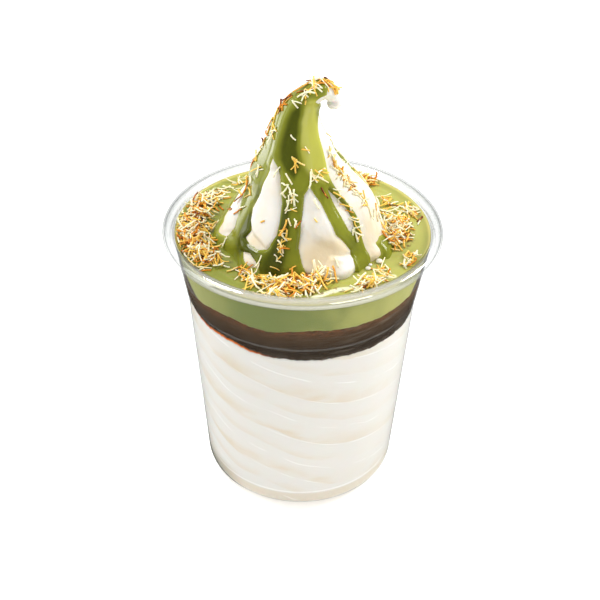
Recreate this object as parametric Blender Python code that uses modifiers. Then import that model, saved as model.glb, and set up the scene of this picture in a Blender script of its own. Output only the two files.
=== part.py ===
"""Pistachio sundae cup: a clear cup of vanilla soft serve under a chocolate and a pistachio layer,
with a curled soft-serve peak, a poured pistachio sauce over it and toasted pastry shreds.

Metres, +Z up. The origin is the middle of the cup's foot, and -Y is the side that faces the viewer.
Sizes below are in millimetres and angles in degrees, counted from -Y towards +X."""

import math
import random

import bmesh
import bpy
from mathutils import Matrix, Vector
from mathutils.bvhtree import BVHTree

MM = 0.001
GAP = 0.3  # clearance between pieces that touch
SIDES = 40  # columns round the cup and round each layer in it

# Cup: outer outline from the edge of the rolled lip, under the lip, down the wall to the floor
WALL = 0.6
WALL_ROOM = 1.1  # the leaning wall takes this many times its thickness across
LIP_TIP = (48.3, 102.2)
LIP_ROLL = [(48.4, 103.6), (47.4, 104.4), (46.0, 104.4), (45.3, 103.4)]
UNDER_LIP = (45.2, 101.8)
SHOULDER_TOP = (42.0, 80.6)
SHOULDER_LOW = (41.4, 79.2)
WALL_LOW = (36.5, 6.0)
FOOT_CURVE = (35.2, 1.6)
FOOT_OUT_R = 33.0
FOOT_IN_R = 30.6
RECESS_R = 29.4
RECESS_H = 2.4

# Layers, as heights on the wall
BASE_FLOOR = RECESS_H + WALL + GAP
BASE_CORNER_R = 33.2
CHOCOLATE_Z = 75.3
CHOCOLATE_TILT = 1.9  # the lower boundary falls by this towards +X
CHOCOLATE_WAVE = 0.6
PISTACHIO_Z = 88.3
PISTACHIO_WAVE = 0.7
POOL_Z = 101.2
POOL_CREEP = 0.7  # the sauce stands this much higher against the wall
FOLD_PITCH = 36.0  # rise of one turn of the folds in the soft serve
FOLD_STARTS = 2
FOLD_DEPTH = 0.9
BASE_ROWS = 9
POOL_RINGS = 5  # between the peak's foot and the wall
DISC_SHARES = (0.5, 1.0)  # rings of a hidden flat face, as shares of its radius

# Peak: (x, z, radius over the ridges, lean of the section towards +X)
PEAK_STATIONS = [
    (0.4, 101.5, 28.2, 0.0),
    (0.4, 103.6, 28.6, 0.0),
    (0.5, 106.5, 27.3, 0.0),
    (0.8, 110.0, 25.6, 0.0),
    (1.2, 113.5, 23.9, 0.0),
    (1.2, 117.0, 21.9, 0.0),
    (0.4, 121.0, 18.9, 0.0),
    (-1.1, 125.5, 16.0, 0.0),
    (-1.6, 130.0, 13.0, 0.0),
    (-1.7, 135.0, 10.6, 0.0),
    (-2.2, 141.0, 8.2, 2.0),
    (-1.7, 146.0, 6.4, 9.0),
    (-0.2, 149.3, 4.9, 23.0),
    (1.3, 151.3, 3.8, 34.0),
    (2.8, 152.6, 3.4, 50.0),
    (4.6, 153.7, 3.2, 69.0),
    (6.5, 154.2, 3.1, 90.0),
    (8.1, 153.6, 2.9, 113.0),
    (9.4, 151.8, 2.7, 138.0),
    (9.5, 149.4, 2.2, 168.0),
]
PEAK_TIP = (9.5, 147.3)
FOOT_FORWARD = 2.0  # the foot stands this much nearer the viewer than the spine
FORWARD_REACH = 18.0
VALLEY_DEPTH_FOOT = 2.4
VALLEY_DEPTH_NECK = 0.8
NECK_REACH = 36.0  # along the spine, from the pool
CURL_REACH = 52.0
SAUCE_END = 16  # station at which the sauce on the curl ends

# White lobes that the sauce leaves bare: angle at the foot and at the apex, half width at the
# foot in millimetres, and the apex's distance up the spine
LOBES = [
    (-142.0, -138.0, 7.0, 21.0),
    (-90.0, -84.0, 7.0, 20.0),
    (-34.0, -40.0, 7.6, 32.0),
    (16.0, 13.0, 8.9, 25.0),
    (74.0, 90.0, 13.0, 47.5),
    (124.0, 130.0, 6.6, 22.0),
    (171.0, 168.0, 7.5, 30.0),
]
LOBE_POINT = 0.75  # a lobe keeps its width low down and closes to a point like a leaf
LOBE_OPEN = 0.97  # share of the way to its apex over which a lobe is bare
LOBE_SHOULDER = 0.4  # share of its half width at which a lobe is highest
EDGE_RIDGE = 0.4  # height of a lobe's edge between the valley (0) and the ridge (1)
APEX_HALF = 3.4  # half width of a lobe's columns at its apex, in degrees
RIDGE_HALF = 9.0  # and of the ridge that runs on above it
SAUCE_STREAM = 2.3
SAUCE_SPREAD = 1.4  # the streams spread by this where they run into the pool
SPREAD_REACH = 2.0
SAUCE_NECK = 1.1
SAUCE_EDGE = 0.9

# Lumps of soft serve round the foot: angle, half width, how far they stand out
LUMP_REACH = 4.0
FOOT_LUMPS = [(-75.0, 14.0, 1.8), (-39.0, 10.0, 1.2), (30.0, 14.0, 2.2), (62.0, 16.0, 2.4)]

# Heaps of shreds on the pool: angle, half length along the rim, distance out, half width, rise
HEAPS = [
    (-100.0, 46.0, 38.8, 4.0, 1.6),
    (0.0, 30.0, 39.0, 3.4, 0.9),
    (90.0, 27.0, 38.5, 4.0, 1.0),
]
HEAP_SHREDS = [46, 30, 26]
LOOSE_POOL = (0.0, 180.0, 38.0, 4.6)  # the ring over which the rest is scattered
LOOSE_SHREDS = 16
HEAP_PITCH = 38.0  # steepest shred in a heap, in degrees
LOOSE_PITCH = 12.0
RIM_KEEP = 0.6  # shreds start at least this far from the wall
POOL_TRIES = 12  # places tried for one shred
PEAK_TRIES = 40
SHRED_RISE = 0.42  # a shred stands in the pool at this share of its length from its middle
SINK = 0.25  # height of a shred's middle line over what it lies on, as a share of its thickness
PROBE = 12.0  # how far outside the peak the search for its surface starts
CROWN_SHREDS = 10
CROWN = (11.0, 15.8, -150.0, 20.0)  # lowest and highest station, and angles, of the crown's shreds
SAUCE_SHREDS = 14
LOBE_SHREDS = 8
LOOSE_ZONE = (1.5, 11.0, -180.0, 180.0)
SHRED_LENGTH = (3.6, 7.2)
SHRED_THICK = (0.75, 0.95)
SHRED_BENT = 0.25  # share of the shreds that are bent
FOOT_KEEP_R = 34.4  # the pool is flat inside this
CLUMP = (148.0, 39.5, 7.0, 1.9)  # angle, distance out, length and thickness of the big clump
CLUMP_HEADING = 200.0
CLUMP_PITCH = 8.0
SEED = 11

COLOURS = {
    "cup": ((0.86, 0.88, 0.88), 0.08, 0.35),
    "vanilla_base": ((0.88, 0.83, 0.72), 0.45, 1.0),
    "chocolate_layer": ((0.045, 0.022, 0.014), 0.35, 1.0),
    "pistachio_layer": ((0.29, 0.35, 0.09), 0.25, 1.0),
    "vanilla_swirl": ((0.90, 0.87, 0.80), 0.5, 1.0),
    "pistachio_sauce": ((0.25, 0.33, 0.06), 0.15, 1.0),
}


def clear_scene():
    """Remove what the scene holds."""
    for item in list(bpy.data.objects):
        bpy.data.objects.remove(item)


def new_collection(name):
    """A collection linked to the scene."""
    collection = bpy.data.collections.new(name)
    bpy.context.scene.collection.children.link(collection)
    return collection


def finish_material(name):
    """The Principled material of one sub-part."""
    colour, roughness, alpha = COLOURS[name]
    material = bpy.data.materials.new(name)
    material.use_nodes = True
    shader = material.node_tree.nodes["Principled BSDF"]
    shader.inputs["Base Color"].default_value = (*colour, 1.0)
    shader.inputs["Roughness"].default_value = roughness
    shader.inputs["Metallic"].default_value = 0.0
    shader.inputs["Alpha"].default_value = alpha
    return material


def object_from(bm, name, collection):
    """Turn a bmesh in millimetres into an object in metres."""
    bmesh.ops.scale(bm, vec=(MM, MM, MM), verts=bm.verts)
    mesh = bpy.data.meshes.new(name)
    bm.to_mesh(mesh)
    bm.free()
    item = bpy.data.objects.new(name, mesh)
    collection.objects.link(item)
    return item


def polar(angle, r, z):
    """The point at an angle from -Y towards +X, a distance from the axis and a height."""
    return Vector((r * math.sin(math.radians(angle)), -r * math.cos(math.radians(angle)), z))


def angle_between(a, b):
    """The turn from b to a, between -180 and 180."""
    return (a - b + 180.0) % 360.0 - 180.0


def columns():
    """The angles of the columns round the cup, matching its sides."""
    return [360.0 * k / SIDES for k in range(SIDES)]


# ---- cup ----

def wall_outline():
    """The cup's outer outline, from the lip's edge to the middle of its floor."""
    foot = [WALL_LOW, FOOT_CURVE, (FOOT_OUT_R, 0.0), (FOOT_IN_R, 0.0), (RECESS_R, RECESS_H)]
    wall = [UNDER_LIP, SHOULDER_TOP, SHOULDER_LOW]
    return [LIP_TIP] + LIP_ROLL + wall + foot + [(0.0, RECESS_H)]


def build_cup(collection):
    """The clear cup: its outer outline turned round the axis, and thickened inwards."""
    bm = bmesh.new()
    points = [bm.verts.new((r, 0.0, z)) for r, z in wall_outline()]
    for upper, lower in zip(points, points[1:]):
        bm.edges.new((upper, lower))
    cup = object_from(bm, "cup", collection)
    turn = cup.modifiers.new("turn", "SCREW")
    turn.steps = SIDES
    turn.render_steps = SIDES
    turn.use_merge_vertices = True
    turn.merge_threshold = 0.00001
    shell = cup.modifiers.new("wall", "SOLIDIFY")
    shell.thickness = WALL * MM
    shell.offset = -1.0
    shell.use_even_offset = True
    return cup


def room_r(z):
    """How far out the food may reach inside the cup at a height."""
    stations = [UNDER_LIP, SHOULDER_TOP, SHOULDER_LOW, WALL_LOW]
    for (r_high, z_high), (r_low, z_low) in zip(stations, stations[1:]):
        if z >= z_low:
            break
    share = (z - z_low) / (z_high - z_low)
    return r_low + share * (r_high - r_low) - WALL_ROOM * WALL - GAP


# ---- layers in the cup ----

def chocolate_floor(angle, share):
    """Lower boundary of the chocolate at an angle and a share of the radius."""
    turn = math.radians(angle)
    wave = CHOCOLATE_WAVE * math.sin(3.0 * turn + 0.6)
    return CHOCOLATE_Z + share ** 2 * (wave - CHOCOLATE_TILT * math.sin(turn))


def pistachio_floor(angle, share):
    """Lower boundary of the pistachio at an angle and a share of the radius."""
    turn = math.radians(angle)
    wave = math.sin(4.0 * turn + 0.9) + 0.6 * math.sin(7.0 * turn)
    return PISTACHIO_Z + share ** 2 * PISTACHIO_WAVE * wave


def fold_cut(angle, z):
    """How far the folds of the soft serve draw back from the wall."""
    phase = FOLD_STARTS * (z / FOLD_PITCH + angle / 360.0)
    away = abs((phase % 1.0) - 0.5) * 2.0  # 1 in a furrow, 0 on a fold
    return FOLD_DEPTH * away ** 4


def heap_rise(angle, r):
    """How much the pool swells under the heaps of shreds."""
    rise = 0.0
    for heap_angle, half_turn, distance, half_width, height in HEAPS:
        along = angle_between(angle, heap_angle) / half_turn
        across = (r - distance) / half_width
        rise = max(rise, height * math.exp(-along ** 4 - across ** 2))
    return rise


def pool_z(angle, r):
    """Height of the pool's surface, level where the peak stands."""
    if r <= FOOT_KEEP_R:
        return POOL_Z
    wall_r = room_r(POOL_Z)
    creep = POOL_CREEP * max(0.0, (r - FOOT_KEEP_R) / (wall_r - FOOT_KEEP_R)) ** 4
    return POOL_Z + creep + heap_rise(angle, r)


def plug(name, collection, rings_below, side, rings_above):
    """A solid that fills the cup between two surfaces.

    rings_below and rings_above give (radius, height) at an angle, from the axis outwards;
    side gives them between the two, from the bottom up."""
    bm = bmesh.new()
    turns = columns()

    def ring(place):
        return [bm.verts.new(polar(angle, *place(angle))) for angle in turns]

    below = [ring(place) for place in rings_below]
    middle = [ring(place) for place in side]
    above = [ring(place) for place in rings_above]
    rows = below + middle + above[::-1]
    for lower, upper in zip(rows, rows[1:]):
        for k in range(SIDES):
            n = (k + 1) % SIDES
            bm.faces.new((lower[k], lower[n], upper[n], upper[k]))
    low = bm.verts.new((0.0, 0.0, rings_below[0](0.0)[1]))
    high = bm.verts.new((0.0, 0.0, rings_above[0](0.0)[1]))
    for k in range(SIDES):
        n = (k + 1) % SIDES
        bm.faces.new((below[0][n], below[0][k], low))
        bm.faces.new((above[0][k], above[0][n], high))
    return object_from(bm, name, collection)


def disc_rings(height, shares, outer_r):
    """Rings of a disc whose height depends on the angle and the share of its radius."""
    def place(share):
        return lambda angle: (share * outer_r(height(angle, 1.0)), height(angle, share))
    return [place(share) for share in shares]


def build_base(collection):
    """Vanilla soft serve pressed against the wall, with the furrows between its folds."""
    def roof(angle, share):
        return chocolate_floor(angle, share) - GAP / 2.0

    def row(share):
        def place(angle):
            z = WALL_LOW[1] + share * (roof(angle, 1.0) - WALL_LOW[1])
            return room_r(z) - fold_cut(angle, z), z
        return place

    below = [lambda angle, s=s: (s * BASE_CORNER_R, BASE_FLOOR) for s in DISC_SHARES]
    side = [row(k / BASE_ROWS) for k in range(BASE_ROWS)]
    return plug("vanilla_base", collection, below, side, disc_rings(roof, DISC_SHARES, room_r))


def build_chocolate(collection):
    """The dark chocolate layer between the soft serve and the pistachio."""
    def floor(angle, share):
        return chocolate_floor(angle, share) + GAP / 2.0

    def roof(angle, share):
        return pistachio_floor(angle, share) - GAP / 2.0

    below = disc_rings(floor, DISC_SHARES, room_r)
    side = [lambda angle, z=z: (room_r(z), z) for z in (SHOULDER_LOW[1], SHOULDER_TOP[1])]
    return plug("chocolate_layer", collection, below, side, disc_rings(roof, DISC_SHARES, room_r))


def build_pistachio(collection):
    """The pistachio layer, whose top is the pool that the peak stands on."""
    def floor(angle, share):
        return pistachio_floor(angle, share) + GAP / 2.0

    edge_r = room_r(POOL_Z)
    step = (edge_r - FOOT_KEEP_R) / POOL_RINGS
    top_r = [DISC_SHARES[0] * FOOT_KEEP_R] + [FOOT_KEEP_R + k * step for k in range(POOL_RINGS + 1)]
    above = [lambda angle, r=r: (r, pool_z(angle, r)) for r in top_r]
    below = disc_rings(floor, DISC_SHARES, room_r)
    return plug("pistachio_layer", collection, below, [], above)


# ---- peak and sauce ----

def spine_reach():
    """How far each station lies along the spine."""
    reach = [0.0]
    for (x0, z0, _, _), (x1, z1, _, _) in zip(PEAK_STATIONS, PEAK_STATIONS[1:]):
        reach.append(reach[-1] + math.hypot(x1 - x0, z1 - z0))
    return reach


def lobe_middle(lobe, reach):
    """The angle of a lobe's middle line at a distance up the spine."""
    foot, apex, _, apex_reach = lobe
    return foot + (apex - foot) * min(1.0, reach / apex_reach)


def lobe_half(lobe, reach, radius):
    """The half width of a lobe's columns in degrees: its bare window, then the ridge above it."""
    _, _, half, apex_reach = lobe
    if reach > apex_reach:
        return min(RIDGE_HALF, APEX_HALF + reach - apex_reach)
    narrowed = half * (1.0 - (reach / apex_reach) ** 2) ** LOBE_POINT
    return max(math.degrees(narrowed / radius), APEX_HALF)


def bare(lobe, reach):
    """Whether the lobe's window is still open at this distance up the spine."""
    return reach < LOBE_OPEN * lobe[3]


def ring_columns(reach, radius):
    """Columns of the peak at one station, as (angle, ridge height from 0 to 1, sauce place).

    Each lobe has its two edges and two columns between them, and each stream of sauce between
    two lobes has two columns. The sauce is thin at the edge of a bare lobe, and thick elsewhere."""
    found = []
    for lobe, following in zip(LOBES, LOBES[1:] + LOBES[:1]):
        middle = lobe_middle(lobe, reach)
        half = lobe_half(lobe, reach, radius)
        far_edge = middle + angle_between(lobe_middle(following, reach), middle) % 360.0
        far_edge -= lobe_half(following, reach, radius)
        near_edge = middle + half
        stream = (far_edge - near_edge) / 3.0
        edge = "thin" if bare(lobe, reach) else "thick"
        found.append((middle - half, EDGE_RIDGE, edge))
        found.append((middle - LOBE_SHOULDER * half, 1.0, "thick"))
        found.append((middle + LOBE_SHOULDER * half, 1.0, "thick"))
        found.append((near_edge, EDGE_RIDGE, edge))
        found.append((near_edge + stream, 0.0, "thick"))
        found.append((near_edge + 2.0 * stream, 0.0, "thick"))
    return found


def blend(low, high, share):
    """A value between two others, with the share held between 0 and 1."""
    return low + (high - low) * min(1.0, max(0.0, share))


def valley_depth(reach):
    """How deep the valleys between the ridges are; the curl is smooth."""
    if reach < NECK_REACH:
        return blend(VALLEY_DEPTH_FOOT, VALLEY_DEPTH_NECK, reach / NECK_REACH)
    return blend(VALLEY_DEPTH_NECK, 0.0, (reach - NECK_REACH) / (CURL_REACH - NECK_REACH))


def foot_lump(angle, reach):
    """How far the lumps round the foot stand out."""
    fade = math.exp(-(reach / LUMP_REACH) ** 4)
    lumps = [size * math.exp(-(angle_between(angle, at) / half) ** 2) for at, half, size in FOOT_LUMPS]
    return fade * sum(lumps)


def peak_point(station, reach, angle, ridge, lift):
    """A point of the peak's surface, lifted off it along its section."""
    x, z, radius, lean = station
    depth = valley_depth(reach) * (1.0 - ridge)
    r = radius - depth + foot_lump(angle, reach) + lift
    side = r * math.sin(math.radians(angle))
    tilt = math.radians(lean)
    forward = FOOT_FORWARD * max(0.0, 1.0 - reach / FORWARD_REACH)
    front = -r * math.cos(math.radians(angle)) - forward
    return Vector((x + side * math.cos(tilt), front, z - side * math.sin(tilt)))


def build_swirl(collection):
    """The white peak: a loft through its stations, closed by a flat foot and a rounded tip."""
    bm = bmesh.new()
    rings = []
    for station, reach in zip(PEAK_STATIONS, spine_reach()):
        ring = ring_columns(reach, station[2])
        rings.append([bm.verts.new(peak_point(station, reach, a, ridge, 0.0)) for a, ridge, _ in ring])
    count = len(rings[0])
    for lower, upper in zip(rings, rings[1:]):
        for k in range(count):
            n = (k + 1) % count
            bm.faces.new((lower[k], lower[n], upper[n], upper[k]))
    foot = bm.verts.new((PEAK_STATIONS[0][0], 0.0, PEAK_STATIONS[0][1]))
    tip = bm.verts.new((PEAK_TIP[0], 0.0, PEAK_TIP[1]))
    for k in range(count):
        n = (k + 1) % count
        bm.faces.new((rings[0][n], rings[0][k], foot))
        bm.faces.new((rings[-1][k], rings[-1][n], tip))
    return object_from(bm, "vanilla_swirl", collection)


def sauce_lift(place, reach):
    """How far the outer face of the sauce lies off the peak."""
    if place == "thin":
        return SAUCE_EDGE
    spread = SAUCE_SPREAD * max(0.0, 1.0 - reach / SPREAD_REACH)
    return blend(SAUCE_STREAM, SAUCE_NECK, reach / NECK_REACH) + spread


def build_sauce(collection):
    """The poured sauce: a skin over the peak with an outer and an inner face, open at the lobes."""
    bm = bmesh.new()
    outer = []
    inner = []
    reaches = spine_reach()[:SAUCE_END + 1]
    for station, reach in zip(PEAK_STATIONS, reaches):
        ring = ring_columns(reach, station[2])
        raised = [peak_point(station, reach, a, ridge, sauce_lift(place, reach)) for a, ridge, place in ring]
        seated = [peak_point(station, reach, a, ridge, GAP) for a, ridge, _ in ring]
        outer.append([bm.verts.new(point) for point in raised])
        inner.append([bm.verts.new(point) for point in seated])
    count = len(outer[0])
    per_lobe = count // len(LOBES)

    def covered(row, column):
        if not 0 <= row < len(reaches) - 1:
            return False
        lobe_index, place = divmod(column % count, per_lobe)
        return place >= 3 or not bare(LOBES[lobe_index], reaches[row])

    for row in range(len(reaches) - 1):
        for k in range(count):
            if not covered(row, k):
                continue
            n = (k + 1) % count
            top = outer[row + 1]
            low = outer[row]
            top_in = inner[row + 1]
            low_in = inner[row]
            bm.faces.new((low[k], low[n], top[n], top[k]))
            bm.faces.new((low_in[n], low_in[k], top_in[k], top_in[n]))
            if not covered(row - 1, k):
                bm.faces.new((low[n], low[k], low_in[k], low_in[n]))
            if not covered(row + 1, k):
                bm.faces.new((top[k], top[n], top_in[n], top_in[k]))
            if not covered(row, k - 1):
                bm.faces.new((low[k], top[k], top_in[k], low_in[k]))
            if not covered(row, k + 1):
                bm.faces.new((top[n], low[n], low_in[n], top_in[n]))
    unused = [vertex for vertex in bm.verts if not vertex.link_faces]
    bmesh.ops.delete(bm, geom=unused, context="VERTS")
    return object_from(bm, "pistachio_sauce", collection)


# ---- toasted pastry shreds ----

def shred_mesh(rng, length, thickness):
    """One shred along X: a flat bar, or one bent at its middle."""
    bm = bmesh.new()
    bmesh.ops.create_cube(bm, size=1.0)
    bmesh.ops.scale(bm, vec=(length, thickness, 0.85 * thickness), verts=bm.verts)
    if rng.random() < SHRED_BENT:
        long_edges = [edge for edge in bm.edges if edge.calc_length() > 0.9 * length]
        bmesh.ops.subdivide_edges(bm, edges=long_edges, cuts=1)
        bend = rng.uniform(-0.12, 0.12) * length
        for vertex in bm.verts:
            if abs(vertex.co.x) < 0.1 * length:
                vertex.co.y += bend
    return bm


def shred_points(matrix, length):
    """Points along a shred's middle line."""
    return [matrix @ Vector((length * share, 0.0, 0.0)) for share in (-0.5, -0.25, 0.0, 0.25, 0.5)]


def stays_clear(points, thickness, trees):
    """Whether a shred keeps its distance from the pieces that it must not touch."""
    keep = (0.75 * thickness + GAP) * MM
    return all(tree.find_nearest(point * MM)[3] > keep for tree in trees for point in points)


def tree_of(item):
    """A search tree of an object as its modifiers leave it."""
    return BVHTree.FromObject(item, bpy.context.evaluated_depsgraph_get())


def lying_matrix(point, normal, heading, pitch):
    """A place on a surface: Z along the normal, X turned by heading and raised by pitch."""
    turn = Vector(normal).to_track_quat("Z", "Y").to_matrix().to_4x4()
    tilt = Matrix.Rotation(-math.radians(pitch), 4, "Y")
    return Matrix.Translation(point) @ turn @ Matrix.Rotation(math.radians(heading), 4, "Z") @ tilt


def pool_shreds(rng, trees):
    """Shreds heaped and scattered on the pool, clear of the cup and of the peak."""
    pieces = []
    edge_r = room_r(POOL_Z) - RIM_KEEP
    wishes = []
    for heap, count in zip(HEAPS, HEAP_SHREDS):
        wishes += [(*heap[:4], HEAP_PITCH)] * count
    wishes += [(*LOOSE_POOL, LOOSE_PITCH)] * LOOSE_SHREDS
    for at, half_turn, distance, half_width, steepest in wishes:
        for _ in range(POOL_TRIES):
            angle = at + rng.uniform(-1.0, 1.0) * half_turn
            r = min(edge_r, max(FOOT_KEEP_R, rng.gauss(distance, 0.6 * half_width)))
            length = rng.uniform(*SHRED_LENGTH)
            thickness = rng.uniform(*SHRED_THICK)
            pitch = steepest * rng.random() ** 2
            matrix = lying_matrix(polar(angle, r, pool_z(angle, r)), (0, 0, 1), rng.uniform(0, 360), pitch)
            matrix = matrix @ Matrix.Translation((SHRED_RISE * length, 0.0, 0.5 * SINK * thickness))
            if stays_clear(shred_points(matrix, length), thickness, trees):
                pieces.append((matrix, length, thickness))
                break
    return pieces


def clump_piece():
    """The big toasted clump behind the peak."""
    angle, distance, length, thickness = CLUMP
    point = polar(angle, distance, pool_z(angle, distance) + 0.3 * thickness)
    return lying_matrix(point, (0, 0, 1), CLUMP_HEADING, CLUMP_PITCH), length, thickness


def outer_hit(place, angle, tree):
    """Where a line from outside the peak to its spine, at a place between stations, first hits."""
    low = PEAK_STATIONS[int(place)]
    high = PEAK_STATIONS[int(place) + 1]
    x, z, radius, lean = (blend(a, b, place - int(place)) for a, b in zip(low, high))
    spine = Vector((x, 0.0, z))
    outside = peak_point((x, z, radius, lean), CURL_REACH, angle, 1.0, PROBE)
    point, normal, _, distance = tree.ray_cast(outside * MM, (spine - outside).normalized())
    return point, normal, distance


def peak_shreds(rng, count, zone, tree, other_tree):
    """Shreds that lie on the outer face of one piece of the peak, clear of the other piece."""
    pieces = []
    low, high, first_angle, last_angle = zone
    for _ in range(PEAK_TRIES * count):
        if len(pieces) == count:
            break
        place = rng.uniform(low, high)
        angle = rng.uniform(first_angle, last_angle)
        point, normal, distance = outer_hit(place, angle, tree)
        other_point, _, other_distance = outer_hit(place, angle, other_tree)
        if point is None or (other_point is not None and other_distance < distance):
            continue
        length = 0.8 * rng.uniform(*SHRED_LENGTH)
        thickness = rng.uniform(*SHRED_THICK)
        matrix = lying_matrix(point / MM, normal, rng.uniform(0, 360), rng.uniform(-8, 8))
        matrix = matrix @ Matrix.Translation((0.0, 0.0, SINK * thickness))
        if stays_clear(shred_points(matrix, length), thickness, [other_tree]):
            pieces.append((matrix, length, thickness))
    return pieces


def bodies_of(bm):
    """The separate closed bodies of a mesh, as lists of faces."""
    left = set(bm.faces)
    found = []
    while left:
        start = left.pop()
        body = [start]
        queue = [start]
        while queue:
            face = queue.pop()
            for edge in face.edges:
                for other in edge.link_faces:
                    if other in left:
                        left.remove(other)
                        body.append(other)
                        queue.append(other)
        found.append(body)
    return found


def keep_largest_body(item):
    """Fill sealed hollows and drop loose scraps, by keeping the outer body alone."""
    bm = bmesh.new()
    bm.from_mesh(item.data)
    found = sorted(bodies_of(bm), key=lambda body: sum(face.calc_area() for face in body))
    spare = [face for body in found[:-1] for face in body]
    bmesh.ops.delete(bm, geom=spare, context="FACES")
    bm.to_mesh(item.data)
    bm.free()


def fuse_shreds(rng, item, pieces):
    """Join shreds to the object that they lie on with one Boolean union."""
    group = new_collection(item.name + "_shreds")
    for number, (matrix, length, thickness) in enumerate(pieces):
        bm = shred_mesh(rng, length, thickness)
        bmesh.ops.transform(bm, matrix=matrix, verts=bm.verts)
        object_from(bm, f"shred_{number}", group)
    join = item.modifiers.new("shreds", "BOOLEAN")
    join.operation = "UNION"
    join.operand_type = "COLLECTION"
    join.collection = group
    join.solver = "MANIFOLD"
    depsgraph = bpy.context.evaluated_depsgraph_get()
    mesh = bpy.data.meshes.new_from_object(item.evaluated_get(depsgraph))
    item.modifiers.clear()
    item.data = mesh
    for piece in list(group.objects):
        bpy.data.objects.remove(piece)
    bpy.data.collections.remove(group)
    keep_largest_body(item)


def build_all():
    """Build every piece, then lay the shreds on them."""
    clear_scene()
    collection = new_collection("pistachio_sundae_cup")
    cup = build_cup(collection)
    base = build_base(collection)
    chocolate = build_chocolate(collection)
    pistachio = build_pistachio(collection)
    swirl = build_swirl(collection)
    sauce = build_sauce(collection)
    bpy.context.view_layer.update()
    cup_tree = tree_of(cup)
    swirl_tree = tree_of(swirl)
    sauce_tree = tree_of(sauce)
    rng = random.Random(SEED)
    on_pool = pool_shreds(rng, [cup_tree, swirl_tree, sauce_tree])
    crown = peak_shreds(rng, CROWN_SHREDS, CROWN, sauce_tree, swirl_tree)
    over_sauce = peak_shreds(rng, SAUCE_SHREDS, LOOSE_ZONE, sauce_tree, swirl_tree)
    over_lobes = peak_shreds(rng, LOBE_SHREDS, LOOSE_ZONE, swirl_tree, sauce_tree)
    fuse_shreds(rng, pistachio, on_pool + [clump_piece()])
    fuse_shreds(rng, sauce, crown + over_sauce)
    fuse_shreds(rng, swirl, over_lobes)
    for item in (cup, base, chocolate, pistachio, swirl, sauce):
        item.data.materials.clear()
        item.data.materials.append(finish_material(item.name))


build_all()
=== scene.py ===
"""The looks of a pistachio sundae: a clear cup of soft serve under a chocolate and a pistachio layer,
with a curled peak, a poured pistachio sauce and toasted pastry shreds.

Sizes are in millimetres until a mesh is finished, +Z up from the middle of the cup's foot, and
angles in degrees from the viewer's side, -Y, towards +X."""

import math
import random

import bmesh
import bpy
import numpy as np
from mathutils import Matrix, Vector
from mathutils.bvhtree import BVHTree


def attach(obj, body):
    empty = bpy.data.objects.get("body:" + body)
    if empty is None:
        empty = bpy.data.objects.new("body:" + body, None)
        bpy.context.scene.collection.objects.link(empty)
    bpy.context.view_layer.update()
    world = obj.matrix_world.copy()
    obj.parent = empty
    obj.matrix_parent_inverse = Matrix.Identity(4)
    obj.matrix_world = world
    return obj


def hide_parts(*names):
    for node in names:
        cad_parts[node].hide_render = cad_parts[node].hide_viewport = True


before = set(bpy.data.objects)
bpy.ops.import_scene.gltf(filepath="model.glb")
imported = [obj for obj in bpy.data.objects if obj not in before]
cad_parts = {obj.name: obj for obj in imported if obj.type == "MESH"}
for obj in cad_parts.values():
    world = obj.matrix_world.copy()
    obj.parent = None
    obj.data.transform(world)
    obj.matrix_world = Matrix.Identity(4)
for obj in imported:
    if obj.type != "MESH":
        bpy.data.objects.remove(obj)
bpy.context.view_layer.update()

MM = 0.001


# ---- table top, lamps and camera ----
# The cup stands on a wide pale table top under large soft lamps, the main one high on its right and
# behind it. The camera looks down on the cup from the viewer's side, turned a little on its axis.
EYE = (0.0, -316.2, 299.9)
LOOK_AT = (-0.6, 0.0, 70.5)
LENS = 63.66
ROLL = 0.88
TABLE_HALF = 2500.0
TABLE_COLOUR = (0.96, 0.96, 0.955)
TABLE_MOTTLE = 0.985  # how light its darker mottles are against the rest
TABLE_GLOW = 0.34  # lit from below, which keeps shadows faint
SKY_COLOUR = (1.0, 0.99, 0.97)
SKY_FRONT = 0.38
SKY_BACK = 0.70
SKY_FADE = (-0.9, 0.5)  # where it passes from one to the other, from -1 in front to 1 behind
LAMPS = [
    # name, place, aim, width, height, watts, colour
    ("main", (380, 150, 400), (0, 0, 95), 180, 180, 2.0, (1.0, 0.98, 0.94)),
    ("top", (-200, 60, 460), (0, 0, 100), 110, 110, 1.0, (1.0, 0.99, 0.97)),
    ("left_panel", (-430, -60, 260), (0, 0, 90), 240, 420, 0.6, (0.96, 0.98, 1.0)),
    ("left_back", (-400, 290, 130), (0, 0, 120), 240, 380, 0.5, (1.0, 1.0, 1.0)),
    ("right_panel", (430, -240, 190), (0, 0, 50), 240, 300, 0.14, (1.0, 0.99, 0.97)),
    ("front_fill", (320, -430, 290), (0, 0, 65), 300, 200, 0.54, (1.0, 0.99, 0.97)),
]


def add_lamp(name, place, aim, width, height, watts, colour):
    """A soft rectangular lamp that faces a point."""
    light = bpy.data.lights.new(name, "AREA")
    light.shape = "RECTANGLE"
    light.size = width * MM
    light.size_y = height * MM
    light.energy = watts
    light.color = colour
    lamp = bpy.data.objects.new(name, light)
    lamp.location = Vector(place) * MM
    lamp.rotation_euler = (Vector(aim) - Vector(place)).to_track_quat("-Z", "Y").to_euler()
    bpy.context.scene.collection.objects.link(lamp)


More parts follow.
